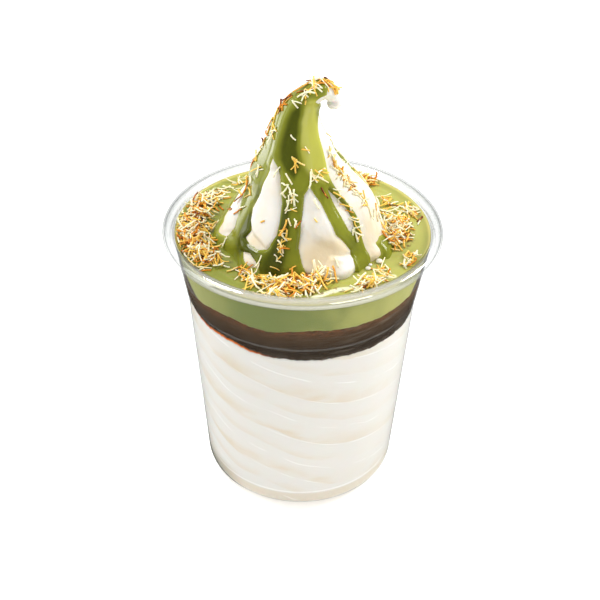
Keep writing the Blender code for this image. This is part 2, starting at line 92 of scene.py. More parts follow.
class Finish:
    """A material under construction: its Principled shader, and the nodes that feed it."""

    def __init__(self, name, **sockets):
        self.material = bpy.data.materials.new(name)
        self.material.use_nodes = True
        self.tree = self.material.node_tree
        self.shader = self.tree.nodes["Principled BSDF"]
        self.set(**sockets)

    def set(self, **sockets):
        """Give sockets of the shader their values; _ stands for a space in a socket's name."""
        for name, value in sockets.items():
            self.feed(self.shader.inputs[name.replace("_", " ")], value)

    def node(self, kind, **settings):
        """A new node with these settings."""
        made = self.tree.nodes.new(kind)
        for name, value in settings.items():
            setattr(made, name, value)
        return made

    def feed(self, socket, value):
        """Link a wire to a socket, or give the socket a plain value."""
        if isinstance(value, Wire):
            self.tree.links.new(value.socket, socket)
        elif isinstance(value, tuple) and len(value) == 3 and socket.type == "RGBA":
            socket.default_value = (*value, 1.0)
        else:
            socket.default_value = value

    def place(self):
        """The point on the piece, in millimetres."""
        point = self.node("ShaderNodeTexCoord").outputs["Object"]
        scaled = self.node("ShaderNodeVectorMath", operation="SCALE")
        self.tree.links.new(point, scaled.inputs[0])
        scaled.inputs["Scale"].default_value = 1.0 / MM
        return Wire(self, scaled.outputs[0])

    def attribute(self, name):
        """A number kept on the piece's vertices."""
        return Wire(self, self.node("ShaderNodeAttribute", attribute_name=name).outputs["Fac"])

    def noise(self, size, detail=2.0, stretch=(1.0, 1.0, 1.0), roughness=0.5):
        """Cloudy noise from 0 to 1 whose clouds are about this many millimetres across."""
        scaled = self.node("ShaderNodeMapping")
        self.feed(scaled.inputs["Vector"], self.place())
        scaled.inputs["Scale"].default_value = [1.0 / (size * part) for part in stretch]
        made = self.node("ShaderNodeTexNoise")
        self.tree.links.new(scaled.outputs[0], made.inputs["Vector"])
        made.inputs["Scale"].default_value = 1.0
        made.inputs["Detail"].default_value = detail
        made.inputs["Roughness"].default_value = roughness
        return Wire(self, made.outputs[0])

    def wander(self, size, detail, width):
        """Cloudy noise about 0, from half this width below it to half this width above it."""
        return (self.noise(size, detail) - 0.5) * width

    def mix(self, share, first, second):
        """A colour between two others."""
        made = self.node("ShaderNodeMix", data_type="RGBA")
        self.feed(made.inputs["Factor"], share)
        self.feed(made.inputs[6], first)
        self.feed(made.inputs[7], second)
        return Wire(self, made.outputs[2])

    def bump(self, height, depth):
        """Press a relief of this depth in millimetres into the surface."""
        made = self.node("ShaderNodeBump")
        made.inputs["Distance"].default_value = depth * MM
        self.feed(made.inputs["Height"], height)
        self.tree.links.new(made.outputs[0], self.shader.inputs["Normal"])


class Wire:
    """A value that a material works out at each point, written with plain arithmetic."""

    def __init__(self, finish, socket):
        self.finish = finish
        self.socket = socket

    def math(self, kind, *others):
        """One of Blender's math operations on this value."""
        node = self.finish.node("ShaderNodeMath", operation=kind)
        for socket, value in zip(node.inputs, (self, *others)):
            self.finish.feed(socket, value)
        return Wire(self.finish, node.outputs[0])

    def __add__(self, other):
        return self.math("ADD", other)

    def __sub__(self, other):
        return self.math("SUBTRACT", other)

    def __mul__(self, other):
        return self.math("MULTIPLY", other)

    def __truediv__(self, other):
        return self.math("DIVIDE", other)

    def __pow__(self, other):
        return self.math("POWER", other)

    def __abs__(self):
        return self.math("ABSOLUTE")

    def part(self, axis):
        """One coordinate of a point: 0, 1 or 2."""
        split = self.finish.node("ShaderNodeSeparateXYZ")
        self.finish.feed(split.inputs[0], self)
        return Wire(self.finish, split.outputs[axis])

    def between(self, low, high, start=0.0, end=1.0):
        """Run from start to end, smoothly, while the value goes from low to high."""
        made = self.finish.node("ShaderNodeMapRange", interpolation_type="SMOOTHSTEP")
        set_range(made, low, high, start, end)
        self.finish.feed(made.inputs["Value"], self)
        return Wire(self.finish, made.outputs[0])

    def fading(self, low, high):
        """Run from 1 down to 0, smoothly, while the value goes from low to high."""
        return self.between(low, high, 1.0, 0.0)


def set_range(node, low, high, start, end):
    """Let a node run from start to end while what it is fed goes from low to high."""
    for name, value in zip(("From Min", "From Max", "To Min", "To Max"), (low, high, start, end)):
        node.inputs[name].default_value = value


def object_of(bm, name, material):
    """Turn a bmesh in millimetres into a smooth object in metres."""
    bmesh.ops.scale(bm, vec=(MM, MM, MM), verts=bm.verts)
    mesh = bpy.data.meshes.new(name)
    bm.to_mesh(mesh)
    bm.free()
    mesh.materials.append(material)
    mesh.shade_smooth()
    item = bpy.data.objects.new(name, mesh)
    bpy.context.scene.collection.objects.link(item)
    return item


def table_finish():
    """Pale painted board with hardly visible mottling."""
    finish = Finish("pale_table", Roughness=0.7, Emission_Color=TABLE_COLOUR, Emission_Strength=TABLE_GLOW)
    mottled = tuple(TABLE_MOTTLE * part for part in TABLE_COLOUR)
    finish.set(Base_Color=finish.mix(finish.noise(40.0, 4.0), TABLE_COLOUR, mottled))
    finish.bump(finish.noise(1.5, 3.0), 0.01)
    return finish.material


table = bmesh.new()
bmesh.ops.create_grid(table, x_segments=1, y_segments=1, size=TABLE_HALF)
object_of(table, "table_top", table_finish())
for lamp in LAMPS:
    add_lamp(*lamp)

sky = bpy.data.worlds.new("sky")
sky.use_nodes = True
towards = sky.node_tree.nodes.new("ShaderNodeTexCoord")
split = sky.node_tree.nodes.new("ShaderNodeSeparateXYZ")
fade = sky.node_tree.nodes.new("ShaderNodeMapRange")
set_range(fade, *SKY_FADE, SKY_FRONT, SKY_BACK)
background = sky.node_tree.nodes["Background"]
background.inputs["Color"].default_value = (*SKY_COLOUR, 1.0)
sky.node_tree.links.new(towards.outputs["Generated"], split.inputs[0])
sky.node_tree.links.new(split.outputs["Y"], fade.inputs["Value"])
sky.node_tree.links.new(fade.outputs[0], background.inputs["Strength"])
scene = bpy.context.scene
scene.world = sky
scene.view_settings.view_transform = "Standard"
scene.cycles.use_denoising = True

camera = bpy.data.objects.new("camera", bpy.data.cameras.new("camera"))
camera.data.lens = LENS
camera.location = Vector(EYE) * MM
facing = (Vector(LOOK_AT) - Vector(EYE)).to_track_quat("-Z", "Y").to_matrix()
camera.rotation_euler = (facing @ Matrix.Rotation(math.radians(ROLL), 3, "Z")).to_euler()
scene.collection.objects.link(camera)
scene.camera = camera


# ---- clear cup ----
# One piece of clear plastic, moulded thin: a recessed foot, a leaning wall with a shoulder under the
# layers, and an edge that is rolled outwards and under into a hollow bead.
WALL = 0.6
PLASTIC = (0.96, 0.97, 0.965)
PLASTIC_CREAM_REFLECTION = (1.0, 0.97, 0.88)  # painted reflection along the front of the rolled edge: the food behind it, which the bead bends into view
# what comes through one skin of the plastic: straight on, straight on at the rolled edge, and edge on
THROUGH_WALL = (0.995, 0.998, 0.998)
THROUGH_EDGE = (0.93, 0.935, 0.935)
EDGE_ON = (0.34, 0.36, 0.37)
HEEL_DARK = (0.08, 0.10, 0.08)  # what is dark in the room shows along the foot on the left
WALL_MIRROR = 0.008
EDGE_MIRROR = (0.30, 0.07)  # in front, and on the sides and behind
SHOULDER_MIRROR = 0.05
GRAZING_MIRROR = 0.03
EDGE_FOOT = (101.2, 102.0)  # heights between which the wall passes into the rolled edge
SHOULDER_Z = 80.0
CUP_STEPS = 360
FILLET_STEPS = 8
# corners of the outside as (radius, height, rounding), from the middle of the foot up
CUP_CORNERS = [
    (0.0, 2.4, 0.0),
    (29.4, 2.4, 0.9),
    (30.6, 0.0, 0.7),
    (36.1, 0.0, 4.2),
    (41.4, 79.2, 1.2),
    (42.0, 80.6, 1.2),
    (45.38, 103.0, 0.0),
]
BEAD_CENTRE = (46.86, 102.87)
BEAD_R = 1.5
BEAD_START = 171.4
BEAD_END = -108.0
BEAD_STEPS = 28
JOIN = 0.0001  # vertices closer together than this become one


def rounded(corners):
    """A line through corners, each with its own rounding."""
    line = [corners[0][:2]]
    for before, corner, after in zip(corners, corners[1:], corners[2:]):
        radius = corner[2]
        if radius == 0.0:
            line.append(corner[:2])
            continue
        here = Vector(corner[:2])
        back = (Vector(before[:2]) - here).normalized()
        ahead = (Vector(after[:2]) - here).normalized()
        half = back.angle(ahead) / 2.0
        centre = here + (back + ahead).normalized() * (radius / math.sin(half))
        start = here + back * (radius / math.tan(half)) - centre
        end = here + ahead * (radius / math.tan(half)) - centre
        for k in range(FILLET_STEPS + 1):
            line.append(tuple(centre + start.lerp(end, k / FILLET_STEPS).normalized() * radius))
    line.append(corners[-1][:2])
    return line


def turned(outline, steps):
    """Turn a line of (radius, height) points round the cup's axis: a grid, rolled up and joined."""
    bm = bmesh.new()
    rows = len(outline) - 1
    bmesh.ops.create_grid(bm, x_segments=steps, y_segments=rows, size=0.5)
    for vertex in bm.verts:
        turn = math.tau * vertex.co.x
        r, z = outline[round((vertex.co.y + 0.5) * rows)]
        vertex.co = (r * math.sin(turn), -r * math.cos(turn), z)
    edge = [vertex for vertex in bm.verts if vertex.is_boundary]
    bmesh.ops.remove_doubles(bm, verts=edge, dist=JOIN)
    return bm


def thicken(item, name, thickness, even=False):
    """Thicken an object's surface inwards, by millimetres."""
    shell = item.modifiers.new(name, "SOLIDIFY")
    shell.thickness = thickness * MM
    shell.offset = -1.0
    shell.use_even_offset = even


def clear_plastic():
    """Thin clear plastic: clear straight on, grey where it is seen edge on, and mirroring the lamps, with a
    painted cream reflection along the front of the rolled edge.
    """
    finish = Finish("clear_plastic", Metallic=0.6)
    point = finish.place()
    height = point.part(2)
    rolled = height.between(*EDGE_FOOT)
    in_front = point.part(1).between(-46.0, -22.0, *EDGE_MIRROR)
    shoulder = abs(height - SHOULDER_Z).fading(0.2, 0.9)
    heel = height.fading(3.0, 13.0) * point.part(0).fading(-31.0, -19.0)
    # painted reflection: a cream tint along the front of the rolled edge, for the food seen through it
    cream_painted_shading = rolled * point.part(1).fading(-46.0, -30.0)
    finish.set(Base_Color=finish.mix(cream_painted_shading, PLASTIC, PLASTIC_CREAM_REFLECTION))
    finish.set(Roughness=finish.noise(12.0, 1.0).between(0.4, 0.7, 0.03, 0.09))
    aslant = Wire(finish, finish.node("ShaderNodeLayerWeight").outputs["Facing"])
    thin = aslant**5.0
    edge_on = thin * height.fading(*EDGE_FOOT) + aslant**1.9 * rolled
    tint = finish.mix(edge_on, finish.mix(rolled, THROUGH_WALL, THROUGH_EDGE), EDGE_ON)
    tint = finish.mix(heel * aslant**2.2, tint, HEEL_DARK)
    mirror = thin * GRAZING_MIRROR + rolled * in_front + shoulder * SHOULDER_MIRROR + WALL_MIRROR
    through = finish.node("ShaderNodeBsdfTransparent")
    finish.feed(through.inputs["Color"], tint)
    mixed = finish.node("ShaderNodeMixShader")
    finish.feed(mixed.inputs[0], mirror)
    finish.tree.links.new(through.outputs[0], mixed.inputs[1])
    finish.tree.links.new(finish.shader.outputs[0], mixed.inputs[2])
    finish.tree.links.new(mixed.outputs[0], finish.tree.nodes["Material Output"].inputs["Surface"])
    return finish.material


def build_cup():
    """The cup's outside turned round its axis, and thickened inwards."""
    bead = []
    for k in range(BEAD_STEPS + 1):
        turn = math.radians(BEAD_START + (BEAD_END - BEAD_START) * k / BEAD_STEPS)
        bead.append((BEAD_CENTRE[0] + BEAD_R * math.cos(turn), BEAD_CENTRE[1] + BEAD_R * math.sin(turn)))
    cup = object_of(turned(rounded(CUP_CORNERS)[:-1] + bead, CUP_STEPS), "clear_cup", clear_plastic())
    thicken(cup, "wall", WALL, even=True)
    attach(cup, "root")
    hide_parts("cup")


build_cup()


# ---- vanilla soft serve in the cup ----
# Soft serve let down into the cup in a slow spiral, so that folds of it lie slantwise against the wall:
# each has a painted highlight along its upper edge and a cream-coloured painted shade above the fold that
# it lies on.
INTO_WALL = 0.35  # the food reaches this deep under the wall's outside, so that no air shows
# corners of its outside below the wall's straight part, as (radius, height, rounding)
BASE_CORNERS = [
    (0.0, 2.75, 0.0),
    (29.62, 2.75, 1.0),
    (30.82, 0.35, 0.4),
    (35.75, 0.35, 3.85),
    (38.4, 40.0, 0.0),
]
SETTLE_RATE = 14.0  # above the foot it meets the wall within its height divided by this
LAYER_STEPS = 720
BASE_ROWS = 90
SLAB_RINGS = (0.0, 0.5, 0.9)  # rings of a layer's flat faces, as shares of its radius
CHOCOLATE_Z = 75.1
CHOCOLATE_RISES = [(-45, 20, 1.9), (-70, 13, 2.4), (140, 40, 1.2)]  # angle, half turn, rise
FOLD_EDGE = 57.8  # height of one fold's lower edge at the viewer's side
FOLD_SPACING = 21.0
FOLD_STARTS = 3  # how many folds start round the cup
FOLD_WAVES = [(2.0, 1.1, 1.0), (5.0, 0.0, 0.5)]  # waves round the cup, where they start, height
FURROW_DEPTH = 0.16
FURROW_RATE = 10.0  # on each side, a furrow is as wide as a fold divided by this
FOOT_SHADE_BAND = (6.2, 7.2)  # heights between which the cream-coloured painted shade at the foot ends
# height of a painted highlight along the foot, where the plastic bends
FOOT_HIGHLIGHT_Z = 7.6
RAGGED_WAVES = [(13, 0.14), (29, 0.12), (53, 0.08), (89, 0.09), (127, 0.09), (173, 0.07), (211, 0.05)]
VANILLA_WHITE = (0.745, 0.725, 0.685)
# cream colour of the painted shade
VANILLA_SHADE = (0.70, 0.62, 0.50)
# white of the painted highlights
VANILLA_HIGHLIGHT = (0.99, 0.985, 0.97)
VANILLA_PORE = (0.72, 0.68, 0.60)


def wall_r(z):
    """Radius of the outside of the wall at a height."""
    (r0, z0, _), (r1, z1, _), (r2, z2, _), (r3, z3, _) = CUP_CORNERS[3:]
    return float(np.interp(z, (z0, z1, z2, z3), (r0, r1, r2, r3)))


def shaped(bm, place):
    """Move each vertex to where place(angle, radius, height) puts it."""
    for vertex in bm.verts:
        x, y, z = vertex.co
        angle = math.degrees(math.atan2(x, -y))
        r, z = place(angle, math.hypot(x, y), z)
        turn = math.radians(angle)
        vertex.co = (r * math.sin(turn), -r * math.cos(turn), z)
    return bm


def angle_between(a, b):
    """The turn from b to a, between -180 and 180."""
    return (a - b + 180.0) % 360.0 - 180.0


def ragged(angle, seed):
    """Small uneven waves of a boundary between layers."""
    turn = math.radians(angle)
    return sum(height * math.sin(count * turn + seed * count) for count, height in RAGGED_WAVES)


def chocolate_floor(angle, share):
    """Boundary between the soft serve and the chocolate."""
    rises = [
        rise * math.exp(-((angle_between(angle, at) / half_turn) ** 2))
        for at, half_turn, rise in CHOCOLATE_RISES
    ]
    return CHOCOLATE_Z + share**2 * (sum(rises) + ragged(angle, 1.7))


def fold_place(angle, z):
    """Which fold touches the wall at a point: whole numbers are the edges between folds."""
    turn = math.radians(angle)
    wobble = sum(height * math.sin(count * turn + start) for count, start, height in FOLD_WAVES)
    return (z - FOLD_EDGE + wobble) / FOLD_SPACING + FOLD_STARTS * angle / 360.0


def pressed_vanilla():
    """Soft serve against the wall: slanting folds with cream-coloured painted shade and painted highlights,
    painted shade and a painted highlight at the foot, and small pores.
    """
    finish = Finish(
        "pressed_vanilla",
        Roughness=0.5,
        Specular_IOR_Level=0.1,
        Subsurface_Weight=0.15,
        Subsurface_Scale=2.0 * MM,
    )
    point = finish.place()
    z = point.part(2)
    turn = point.part(0).math("ARCTAN2", point.part(1) * -1.0)
    slow, quick = [(turn * count + start).math("SINE") * height for count, start, height in FOLD_WAVES]
    fold = (z - FOLD_EDGE + slow + quick) / FOLD_SPACING + turn * (FOLD_STARTS / math.tau)
    loose = (fold + finish.wander(18.0, 1.0, 5.0) / FOLD_SPACING).math("FRACT")
    # painted shade: cream bands in the recesses between the folds
    main = loose.between(0.0, 0.03) * loose.fading(0.06, 0.42)
    second = loose.between(0.60, 0.63) * loose.between(0.64, 0.85, 0.5, 0.0)
    patches = finish.noise(13.0, 3.0, (1.4, 1.4, 0.5)).between(0.36, 0.64, 0.15, 1.0)
    # painted light: this shade fades towards the lit right side
    patches = patches * point.part(0).between(4.0, 30.0, 1.0, 0.45)
    cream_painted_shading = main.math("MAXIMUM", second) * patches
    # painted shade at the foot
    cream_painted_shading = cream_painted_shading.math("MAXIMUM", z.fading(*FOOT_SHADE_BAND) * 0.75)
    # painted highlights along the folds' upper edges and along a line within each fold
    edge = fold.math("FRACT").fading(0.0, 0.03)
    line = abs(loose - 0.43).fading(0.0, 0.02)
    light = edge.math("MAXIMUM", line) * finish.noise(11.0, 2.0).between(0.4, 0.6)
    # painted highlight along the foot
    light = light.math("MAXIMUM", abs(z - FOOT_HIGHLIGHT_Z).fading(0.1, 0.5))
    pores = finish.noise(1.1, 1.0).between(0.70, 0.78)
    colour = finish.mix(light * 0.55, finish.mix(cream_painted_shading, VANILLA_WHITE, VANILLA_SHADE), VANILLA_HIGHLIGHT)
    finish.set(Base_Color=finish.mix(pores * 0.35, colour, VANILLA_PORE))
    finish.bump(light * 0.5 + finish.noise(1.2, 3.0) * 0.3 + cream_painted_shading * -0.4, 0.12)
    return finish.material


def build_base():
    """The slab of soft serve, rounded at the foot and furrowed between its folds."""
    outline = rounded(BASE_CORNERS)
    low_r, low_z = outline[-2]
    foot = [(r / low_r, z) for r, z in outline[:-1]]
    rows = [(1.0, low_z + (CHOCOLATE_Z - low_z) * k / BASE_ROWS) for k in range(1, BASE_ROWS + 1)]
    top = [(share, CHOCOLATE_Z) for share in reversed(SLAB_RINGS)]

    def place(angle, share, z):
        raised = (z - low_z) / (CHOCOLATE_Z - low_z)
        if raised <= 0.0:
            return share * low_r, z
        z = low_z + raised * (chocolate_floor(angle, 1.0 if raised < 1.0 else share) - low_z)
        settled = min(1.0, raised * SETTLE_RATE)
        full_r = low_r + settled * (wall_r(z) - INTO_WALL - low_r)
        in_fold = fold_place(angle, z) % 1.0
        furrow = FURROW_DEPTH * max(0.0, 1.0 - FURROW_RATE * min(in_fold, 1.0 - in_fold))
        return share * (full_r - (furrow if share == 1.0 else 0.0)), z

    slab = shaped(turned(foot + rows + top, LAYER_STEPS), place)
    base = object_of(slab, "pressed_soft_serve", pressed_vanilla())
    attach(base, "root")
    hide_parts("vanilla_base")


build_base()


# ---- chocolate layer ----
# Dark chocolate sauce that has set between the soft serve and the pistachio. It is nearly black low
# down and brown higher up, and reddish where it thins out along both of its edges.
CHOCOLATE_DARK = (0.026, 0.018, 0.012)
CHOCOLATE_BROWN = (0.060, 0.036, 0.020)
CHOCOLATE_RED = (0.20, 0.085, 0.040)
CHOCOLATE_EMBER = (0.60, 0.15, 0.03)
CHOCOLATE_GRAIN = (0.115, 0.075, 0.045)
CHOCOLATE_STREAK = (0.15, 0.125, 0.095)
CHOCOLATE_SPECK = (0.75, 0.70, 0.62)
CHOCOLATE_ROWS = 44
LOW_EDGE = 1.6  # specks of fat show this far up from its lower edge
# angle, half turn and height of the orange-red line of thin sauce along its lower edge
EMBER = (-40.0, 20.0, 1.3)
PISTACHIO_Z = 88.5
PISTACHIO_TILT = 0.5
PISTACHIO_WAVE = 1.1


def pistachio_floor(angle, share):
    """Boundary between the chocolate and the pistachio."""
    turn = math.radians(angle)
    wave = PISTACHIO_WAVE * (0.55 - 0.45 * math.sin(turn)) * math.sin(8.0 * turn + 0.6)
    return PISTACHIO_Z + share**2 * (PISTACHIO_TILT * math.sin(turn) + wave + ragged(angle, 0.6))


def set_chocolate():
    """Grainy dark chocolate, redder at both of its edges, with smeared streaks and specks of fat."""
    finish = Finish("set_chocolate", Roughness=0.42, Specular_IOR_Level=0.0)
    point = finish.place()
    height = point.part(2) + finish.wander(4.0, 3.0, 3.0)
    grain = finish.noise(1.1, 5.0, (1.0, 1.0, 0.6), 0.72)
    high = height.between(CHOCOLATE_Z + 3.4, PISTACHIO_Z - 3.0)
    colour = finish.mix(high, CHOCOLATE_DARK, CHOCOLATE_BROWN)
    colour = finish.mix(grain.between(0.5, 0.72) * 0.7, colour, CHOCOLATE_GRAIN)
    red = height.between(PISTACHIO_Z - 4.0, PISTACHIO_Z + 0.1) * grain.between(0.42, 0.62)
    colour = finish.mix(red, colour, CHOCOLATE_RED)
    low_red = height.fading(CHOCOLATE_Z - 1.3, CHOCOLATE_Z + 1.3) * grain.between(0.48, 0.66)
    colour = finish.mix(low_red * 0.7, colour, CHOCOLATE_RED)
    smeared = finish.noise(9.0, 3.0, (1.0, 1.0, 0.09)).between(0.52, 0.66)
    smeared = smeared * point.part(0).between(0.0, 30.0, 0.25, 1.0)
    colour = finish.mix(smeared * 0.6, colour, CHOCOLATE_STREAK)
    specks = finish.noise(0.4, 1.0).between(0.64, 0.70) * finish.attribute("low_edge")
    colour = finish.mix(specks * 0.8, colour, CHOCOLATE_SPECK)
    ember = (finish.attribute("ember") * grain.between(0.3, 0.5, 0.6, 1.8)).between(0.1, 0.9)
    finish.set(Base_Color=finish.mix(ember, colour, CHOCOLATE_EMBER))
    finish.bump(grain, 0.06)
    return finish.material


def layer(floor, roof, rows):
    """A slab that fills the cup between two uneven surfaces, given as height(angle, share of radius)."""
    outline = [(share, 0.0) for share in SLAB_RINGS]
    outline += [(1.0, k / rows) for k in range(rows + 1)]
    outline += [(share, 1.0) for share in reversed(SLAB_RINGS)]

    def place(angle, share, up):
        low = floor(angle, share)
        z = low + up * (roof(angle, share) - low)
        edge_z = floor(angle, 1.0) + up * (roof(angle, 1.0) - floor(angle, 1.0))
        return share * (wall_r(edge_z) - INTO_WALL), z

    return shaped(turned(outline, LAYER_STEPS), place)


def ease(value):
    """A smooth step from 0 to 1."""
    value = np.clip(value, 0.0, 1.0)
    return value * value * (3.0 - 2.0 * value)


def keep_number(item, name, values):
    """Keep a number on each vertex, for the material."""
    item.data.attributes.new(name, "FLOAT", "POINT").data.foreach_set("value", values.astype(np.float32))


def vertex_places(item):
    """x, y and z of an object's vertices in millimetres, and their angles."""
    x, y, z = np.array([vertex.co for vertex in item.data.vertices]).T / MM
    return x, y, z, np.degrees(np.arctan2(x, -y))


def build_chocolate():
    """The slab of chocolate, with what its material needs to know of its lower edge."""
    slab = layer(chocolate_floor, pistachio_floor, CHOCOLATE_ROWS)
    slab = object_of(slab, "chocolate_sauce", set_chocolate())
    _, _, z, angle = vertex_places(slab)
    above = z - np.array([chocolate_floor(a, 1.0) for a in angle])
    keep_number(slab, "low_edge", 1.0 - ease(above / LOW_EDGE))
    at, half_turn, height = EMBER
    along = np.exp(-((angle_between(angle, at) / half_turn) ** 2))
    keep_number(slab, "ember", along * (1.0 - ease(above / height)))
    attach(slab, "root")
    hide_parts("chocolate_layer")


build_chocolate()


# ---- pistachio layer ----
# Thick pistachio cream that fills the cup up to a glossy pool, which creeps up the wall at its edge
# and lies in low mounds under the heaps of shreds.
POOL_Z = 101.2
POOL_CREEP = 0.8
CREEP_REACH = 0.9
RIM_GLOW = 1.3
PISTACHIO_ROWS = 24
POOL_RINGS = 54
POOL_INSIDE = 24.0  # the rings of the pool lie between this distance from the axis and the wall
# angle, half length along the rim, distance out, half width, rise, how dark the painted shade under its
# strands is
HEAPS = [
    (-94, 40, 38.8, 4.2, 1.3, 1),
    (0, 30, 39, 3.4, 0.7, 0.5),
    (90, 27, 37, 4, 0.8, 0.5),
]
# brown of the painted shade under the heaps
HEAP_SHADE_BROWN = (0.11, 0.035, 0.005)
# chocolate smeared up the wall on both sides: the turns between which it rises, and between which it
# comes down again, and its height
SMEAR = (54.0, 74.0, 86.0, 108.0, 12.5)
SMEAR_EDGE = 3.0
POOL_SAUCE = (0.245, 0.27, 0.038)
# lighter green of the painted light on the pool
POOL_LIT = (0.42, 0.42, 0.095)
POOL_YELLOW = (0.78, 0.72, 0.22)
PRESSED_SAUCE = (0.170, 0.204, 0.064)
# lighter green of the painted light on the pressed sides
PRESSED_LIT = (0.41, 0.405, 0.125)
PISTACHIO_SPECK = (0.13, 0.12, 0.02)
CREAM_STREAK = (0.86, 0.87, 0.58)
# middle lines of streaks of cream that float in the pool, as (angle, distance out)
STREAKS = [
    [(5, 41.9), (12, 39.9), (18, 38.9), (24, 39.3)],
    [(26, 40.2), (33, 38.4), (42, 39.0), (47, 41.3)],
]
STREAK_CORE = 0.4  # how far from its middle line a streak begins to fade, and over what width
STREAK_FADE = 1.0


def heaped(heap, angle, r):
    """How far into a heap a place lies: 1 in its middle, and 0 outside it."""
    at, half_turn, distance, half_width = heap[:4]
    return np.exp(-((angle_between(angle, at) / half_turn) ** 4) - ((r - distance) / half_width) ** 2)


def pool_z(angle, r):
    """Height of the pool's surface."""
    rim_r = wall_r(POOL_Z) - INTO_WALL
    creep = POOL_CREEP * math.exp(-(rim_r - r) / CREEP_REACH)
    mounds = [heap[4] * heaped(heap, angle, r) for heap in HEAPS]
    turn = math.radians(angle)
    ripple = 0.10 * math.sin(0.9 * r + 3.0 * turn) + 0.08 * math.sin(1.7 * r - 5.0 * turn + 1.0)
    return POOL_Z + creep + max(mounds) + ripple


def pistachio_cream():
    """Pistachio cream: matt where the wall presses on it, wet and glossy where it is free, with painted
    light on its sides and across the pool, and painted shade under the heaps.
    """
    finish = Finish(
        "pistachio_cream",
        Specular_IOR_Level=0.05,
        Subsurface_Weight=0.12,
        Subsurface_Scale=1.5 * MM,
        Coat_Roughness=0.09,
    )
    point = finish.place()
    x = point.part(0)
    free = point.part(2).between(POOL_Z - 1.0, POOL_Z - 0.2)
    # painted light: the pool turns lighter towards its lit right side and back, with random clouds in it
    clouds = (x + point.part(1) * 0.45 + finish.wander(11.0, 2.0, 30.0)).between(-45.0, 22.0)
    wet = finish.mix(clouds, POOL_SAUCE, POOL_LIT)
    wet = finish.mix(finish.attribute("rim"), wet, POOL_YELLOW)
    wet = finish.mix(finish.attribute("cream"), wet, CREAM_STREAK)
    # painted shade in the gaps under the heaps of shreds
    heap_shade = (finish.attribute("heap_shade") + finish.wander(1.6, 2.0, 0.8)).between(0.35, 0.6)
    wet = finish.mix(heap_shade * 0.85, wet, HEAP_SHADE_BROWN)
    # painted light on the pressed sides: lighter on the right and on the left, where the lamps fall, with
    # random drift
    drift = finish.wander(6.0, 3.0, 30.0)
    lit_left = (x + drift * 0.5).between(-44.0, -14.0, 0.75, 0.0)
    pale = (x + drift).between(-8.0, 40.0).math("MAXIMUM", lit_left)
    smear = (finish.attribute("smear") + finish.wander(2.2, 4.0, 0.9)).between(0.4, 0.6)
    pressed = finish.mix(smear, finish.mix(pale, PRESSED_SAUCE, PRESSED_LIT), CHOCOLATE_BROWN)
    speck = finish.noise(0.45, 1.0).between(0.70, 0.76)
    colour = finish.mix(speck * 0.5, finish.mix(free, pressed, wet), PISTACHIO_SPECK)
    finish.set(Base_Color=colour, Roughness=free.between(0.0, 1.0, 0.5, 0.16), Coat_Weight=free * 0.75)
    finish.bump(finish.noise(7.0, 1.0) + finish.noise(0.6, 2.0) * 0.06, 0.35)
    return finish.material


def line_distance(corners, x, y, closed=False):
    """Distances from points to a line through corners; inside a closed one they are negative."""
    nearest = np.full(x.shape, np.inf)
    inside = np.zeros(x.shape, bool)
    ends = np.roll(corners, -1, axis=0) if closed else corners[1:]
    for (x0, y0), (x1, y1) in zip(corners, ends):
        dx, dy = x1 - x0, y1 - y0
        share = np.clip(((x - x0) * dx + (y - y0) * dy) / (dx * dx + dy * dy), 0.0, 1.0)
        nearest = np.minimum(nearest, np.hypot(x - x0 - share * dx, y - y0 - share * dy))
        if closed and dy != 0.0:
            inside ^= ((y0 > y) != (y1 > y)) & (x < x0 + (y - y0) * dx / dy)
    return np.where(inside, -nearest, nearest)


def round_the_axis(points):
    """x and y of places given as (angle, distance out)."""
    angle, r = np.array(points, float).T
    return np.column_stack([r * np.sin(np.radians(angle)), -r * np.cos(np.radians(angle))])


def build_pistachio():
    """The slab from the chocolate up to the pool, whose surface is fine enough to carry mounds."""
    rim_r = wall_r(POOL_Z) - INTO_WALL
    outline = [(share, 0.0) for share in SLAB_RINGS]
    outline += [(1.0, k / PISTACHIO_ROWS) for k in range(PISTACHIO_ROWS + 1)]
    outline += [(1.0 - (1.0 - POOL_INSIDE / rim_r) * k / POOL_RINGS, 1.0) for k in range(1, POOL_RINGS + 1)]
    outline += [(0.0, 1.0)]

    def place(angle, share, up):
        if up == 1.0:
            return share * rim_r, pool_z(angle, share * rim_r)
        low = pistachio_floor(angle, share)
        z = low + up * (pool_z(angle, rim_r) - low)
        return share * (wall_r(z) - INTO_WALL), z

    pool = object_of(shaped(turned(outline, LAYER_STEPS), place), "pistachio_pool", pistachio_cream())
    x, y, z, angle = vertex_places(pool)
    r = np.hypot(x, y)
    keep_number(pool, "rim", 1.0 - ease((rim_r - r) / RIM_GLOW))
    keep_number(pool, "heap_shade", np.max([heap[5] * heaped(heap, angle, r) for heap in HEAPS], axis=0))
    start, full, last_full, end, height = SMEAR
    rise = ease((np.abs(angle) - start) / (full - start)) * ease((end - np.abs(angle)) / (end - last_full))
    uneven = 0.9 * np.sin(np.radians(23.0 * angle)) + 0.7 * np.sin(np.radians(41.0 * angle) + 0.9)
    smeared = PISTACHIO_Z - 1.0 + (height + uneven) * rise
    keep_number(pool, "smear", ease(0.5 + (smeared - z) / SMEAR_EDGE) * (rise > 0.0))
    off_streak = np.min([line_distance(round_the_axis(streak), x, y) for streak in STREAKS], axis=0)
    keep_number(pool, "cream", 1.0 - ease((off_streak - STREAK_CORE) / STREAK_FADE))
    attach(pool, "root")
    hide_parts("pistachio_layer")
    return pool


pool = build_pistachio()


# ---- soft-serve peak ----
# Soft serve from a star nozzle: broad ridges rise from the pool, narrow to a neck and end in a curl
# that has drooped over to the right, with a small bead of soft serve at its tip.
TIP_LENGTH = 2.4  # the bead's round end below the last station
